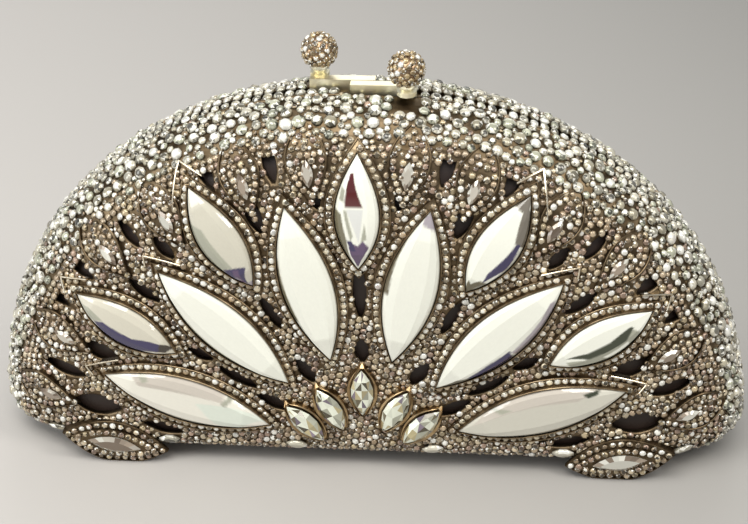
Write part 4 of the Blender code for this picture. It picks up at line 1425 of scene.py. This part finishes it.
FRAME_EDGE = 0.25 * MM
LINING_SHARES = (0.1, 0.35, 0.55, 0.68, 0.77, 0.85, 0.905, 0.945, 0.97, 0.985, 0.995)


def frame_ring():
    px, pz, nx, nz = outline_loop(FRAME_STEPS)
    inset, wall, soft = FRAME_INSET, FRAME_WALL, FRAME_EDGE
    face = PARTING_GAP / 2
    section = ((inset, face + soft), (inset, FRAME_DEPTH - soft), (inset + soft, FRAME_DEPTH),
               (inset + wall - soft, FRAME_DEPTH), (inset + wall, FRAME_DEPTH - soft),
               (inset + wall, face + soft), (inset + wall - soft, face), (inset + soft, face))
    return loft([flat_ring(px - nx * d, pz - nz * d, -y) for d, y in section], closed_up=True)


def lining_tray():
    px, pz = outline_loop(LINING_STEPS)[:2]
    lift = SHELL_WALL + SEAT_GAP
    outer = [dome_ring(px, pz, share, -lift) for share in LINING_SHARES]
    inner = [dome_ring(px, pz, share, -lift - LINING_WALL) for share in LINING_SHARES]
    return loft(outer + inner[::-1])


# Assembly

def build_metal():
    wall = cut(cut(shell_wall(), window_cutters()), pocket_cutters())
    wall.shade_smooth()
    both("shell_wall", wall, GOLD, "antique_gold", "shell")
    ring = cut(solid("gallery", gallery_ring()), pocket_cutters())
    both("rim_channel", ring, GOLD, "antique_gold")
    settings = merged([setting_ring(row) for row in PETALS])
    both("petal_settings", solid("settings", settings), BEZEL_GOLD, "antique_gold")
    leaves = merged([rim_leaf(row) for row in mirrored(LEAVES)])
    both("rim_leaves", solid("leaves", leaves), GOLD, "antique_gold")
    cups = merged([bud_cup(row) for row in mirrored(BUDS)])
    both("bud_cups", solid("cups", cups), CUP_GOLD, "antique_gold")
    both("bare_edges", solid("edges", bare_edges()), EDGE, "polished_gold")


def build_frames():
    band = solid("frame_band", frame_ring(), smooth=True)
    both("frame_band", band, FRAME_GOLD, "polished_gold", "frame")
    tray = solid("lining", lining_tray(), smooth=True)
    both("lining", tray, SATIN, "lining_satin", "lining_tray")
    for half in ("front", "back"):
        body = half + "_half"
        bevelled_copy(half + "_clasp_arm", body, POLISHED, 0.25 * MM, 3)
        for name in ("left", "right"):
            bevelled_copy(half + "_hinge_leaf_" + name, body, FRAME_GOLD, 0.12 * MM, 2)
    for name in ("left", "right"):
        bevelled_copy("hinge_pin_" + name, "back_half", POLISHED, 0.15 * MM, 2)
        bevelled_copy("chain_lug_" + name, "back_half", FRAME_GOLD, 0.1 * MM, 2)


# Floor, light and camera

FLOOR_REACH = 3
# Tone of the pale floor, and of the painted shade towards the right and the back
FLOOR_LIGHT, FLOOR_PAINTED_SHADE = (0.50, 0.475, 0.445), (0.168, 0.165, 0.152)
# Name, place, target, size, power and colour of each lamp
LAMPS = (
    ("ceiling", (-0.15, -0.35, 0.95), (0.0, 0.0, 0.04), (0.9, 0.5), 9.0, (1.0, 0.985, 0.95)),
    ("window", (-0.9, -0.5, 0.45), (0.0, 0.0, 0.05), (0.5, 0.7), 5.0, (0.95, 0.98, 1.0)),
    ("behind", (0.05, 1.05, 0.74), (0.0, 0.0, 0.11), (1.0, 0.4), 2.6, (1.0, 0.98, 0.92)),
    ("strip", (0.55, -0.25, 0.65), (0.0, 0.0, 0.06), (0.2, 0.5), 3.0, (1.0, 0.98, 0.94)),
)
WORLD_COLOUR, WORLD_STRENGTH = (0.92, 0.95, 1.0, 1.0), 0.45
CAMERA_PLACE = Vector((0.044737, -0.417503, 0.313759))
CAMERA_YAW, CAMERA_PITCH, CAMERA_ROLL = (math.radians(a) for a in (-5.8982, 31.8384, -1.5352))
FOCAL_PIXELS, PHOTO_WIDTH = 1808.99, 748
SENSOR_WIDTH = 36.0


def stage_floor():
    """A pale floor with painted shade that darkens it towards the right and the back."""
    mat, shader, tree = material("pale_floor", (0.66, 0.64, 0.61), 0.55)
    where = new_node(tree, "TexCoord")
    split = new_node(tree, "SeparateXYZ")
    wire(tree, where, "Object", split, "Vector")
    # The painted shade grows towards the right and the back
    shade_slant = new_node(tree, "Math")
    shade_slant.operation = "MULTIPLY_ADD"
    shade_slant.inputs[1].default_value = 0.25
    wire(tree, split, "Y", shade_slant, 0)
    wire(tree, split, "X", shade_slant, 2)
    reach = new_node(tree, "MapRange", From_Min=-0.14, From_Max=0.35)
    wire(tree, shade_slant, "Value", reach, "Value")
    ramp = tone_ramp(tree, FLOOR_LIGHT, FLOOR_PAINTED_SHADE)
    wire(tree, reach, "Result", ramp, "Fac")
    wire(tree, ramp, "Color", shader, "Base Color")
    far = FLOOR_REACH
    mesh = bpy.data.meshes.new("floor")
    mesh.from_pydata([(-far, -far, 0), (far, -far, 0), (far, far, 0), (-far, far, 0)], [],
                     [(0, 1, 2, 3)])
    mesh.update()
    mesh.materials.append(mat)
    floor = placed("floor", mesh)


def lamp(name, place, target, size, power, colour):
    data = bpy.data.lights.new(name, "AREA")
    data.shape = "RECTANGLE"
    data.size, data.size_y = size
    data.energy = power
    data.color = colour
    item = placed(name, data)
    item.location = place
    item.rotation_euler = (Vector(target) - Vector(place)).to_track_quat("-Z", "Y").to_euler()


def world_light():
    world = bpy.data.worlds.new("studio")
    bpy.context.scene.world = world
    world.use_nodes = True
    set_inputs(world.node_tree.nodes["Background"], Color=WORLD_COLOUR, Strength=WORLD_STRENGTH)


def camera():
    """The photograph's own view, from its yaw, pitch and roll."""
    yaw, pitch, roll = CAMERA_YAW, CAMERA_PITCH, CAMERA_ROLL
    ahead = Vector((math.sin(yaw) * math.cos(pitch), math.cos(yaw) * math.cos(pitch), -math.sin(pitch)))
    right = Vector((math.cos(yaw), -math.sin(yaw), 0.0))
    up = right.cross(ahead)
    turned_right = right * math.cos(roll) + up * math.sin(roll)
    turned_up = up * math.cos(roll) - right * math.sin(roll)
    data = bpy.data.cameras.new("camera")
    data.sensor_width = SENSOR_WIDTH
    data.lens = FOCAL_PIXELS * SENSOR_WIDTH / PHOTO_WIDTH
    data.clip_start = 0.01
    data.clip_end = 20.0
    item = placed("camera", data)
    turn = Matrix((turned_right, turned_up, -ahead)).transposed().to_4x4()
    item.matrix_world = Matrix.Translation(CAMERA_PLACE) @ turn
    bpy.context.scene.camera = item


build_metal()
build_stones()
build_crystals()
build_feet()
build_balls()
build_frames()
stage_floor()
world_light()
for row in LAMPS:
    lamp(*row)
camera()
bpy.context.scene.view_settings.view_transform = "Standard"
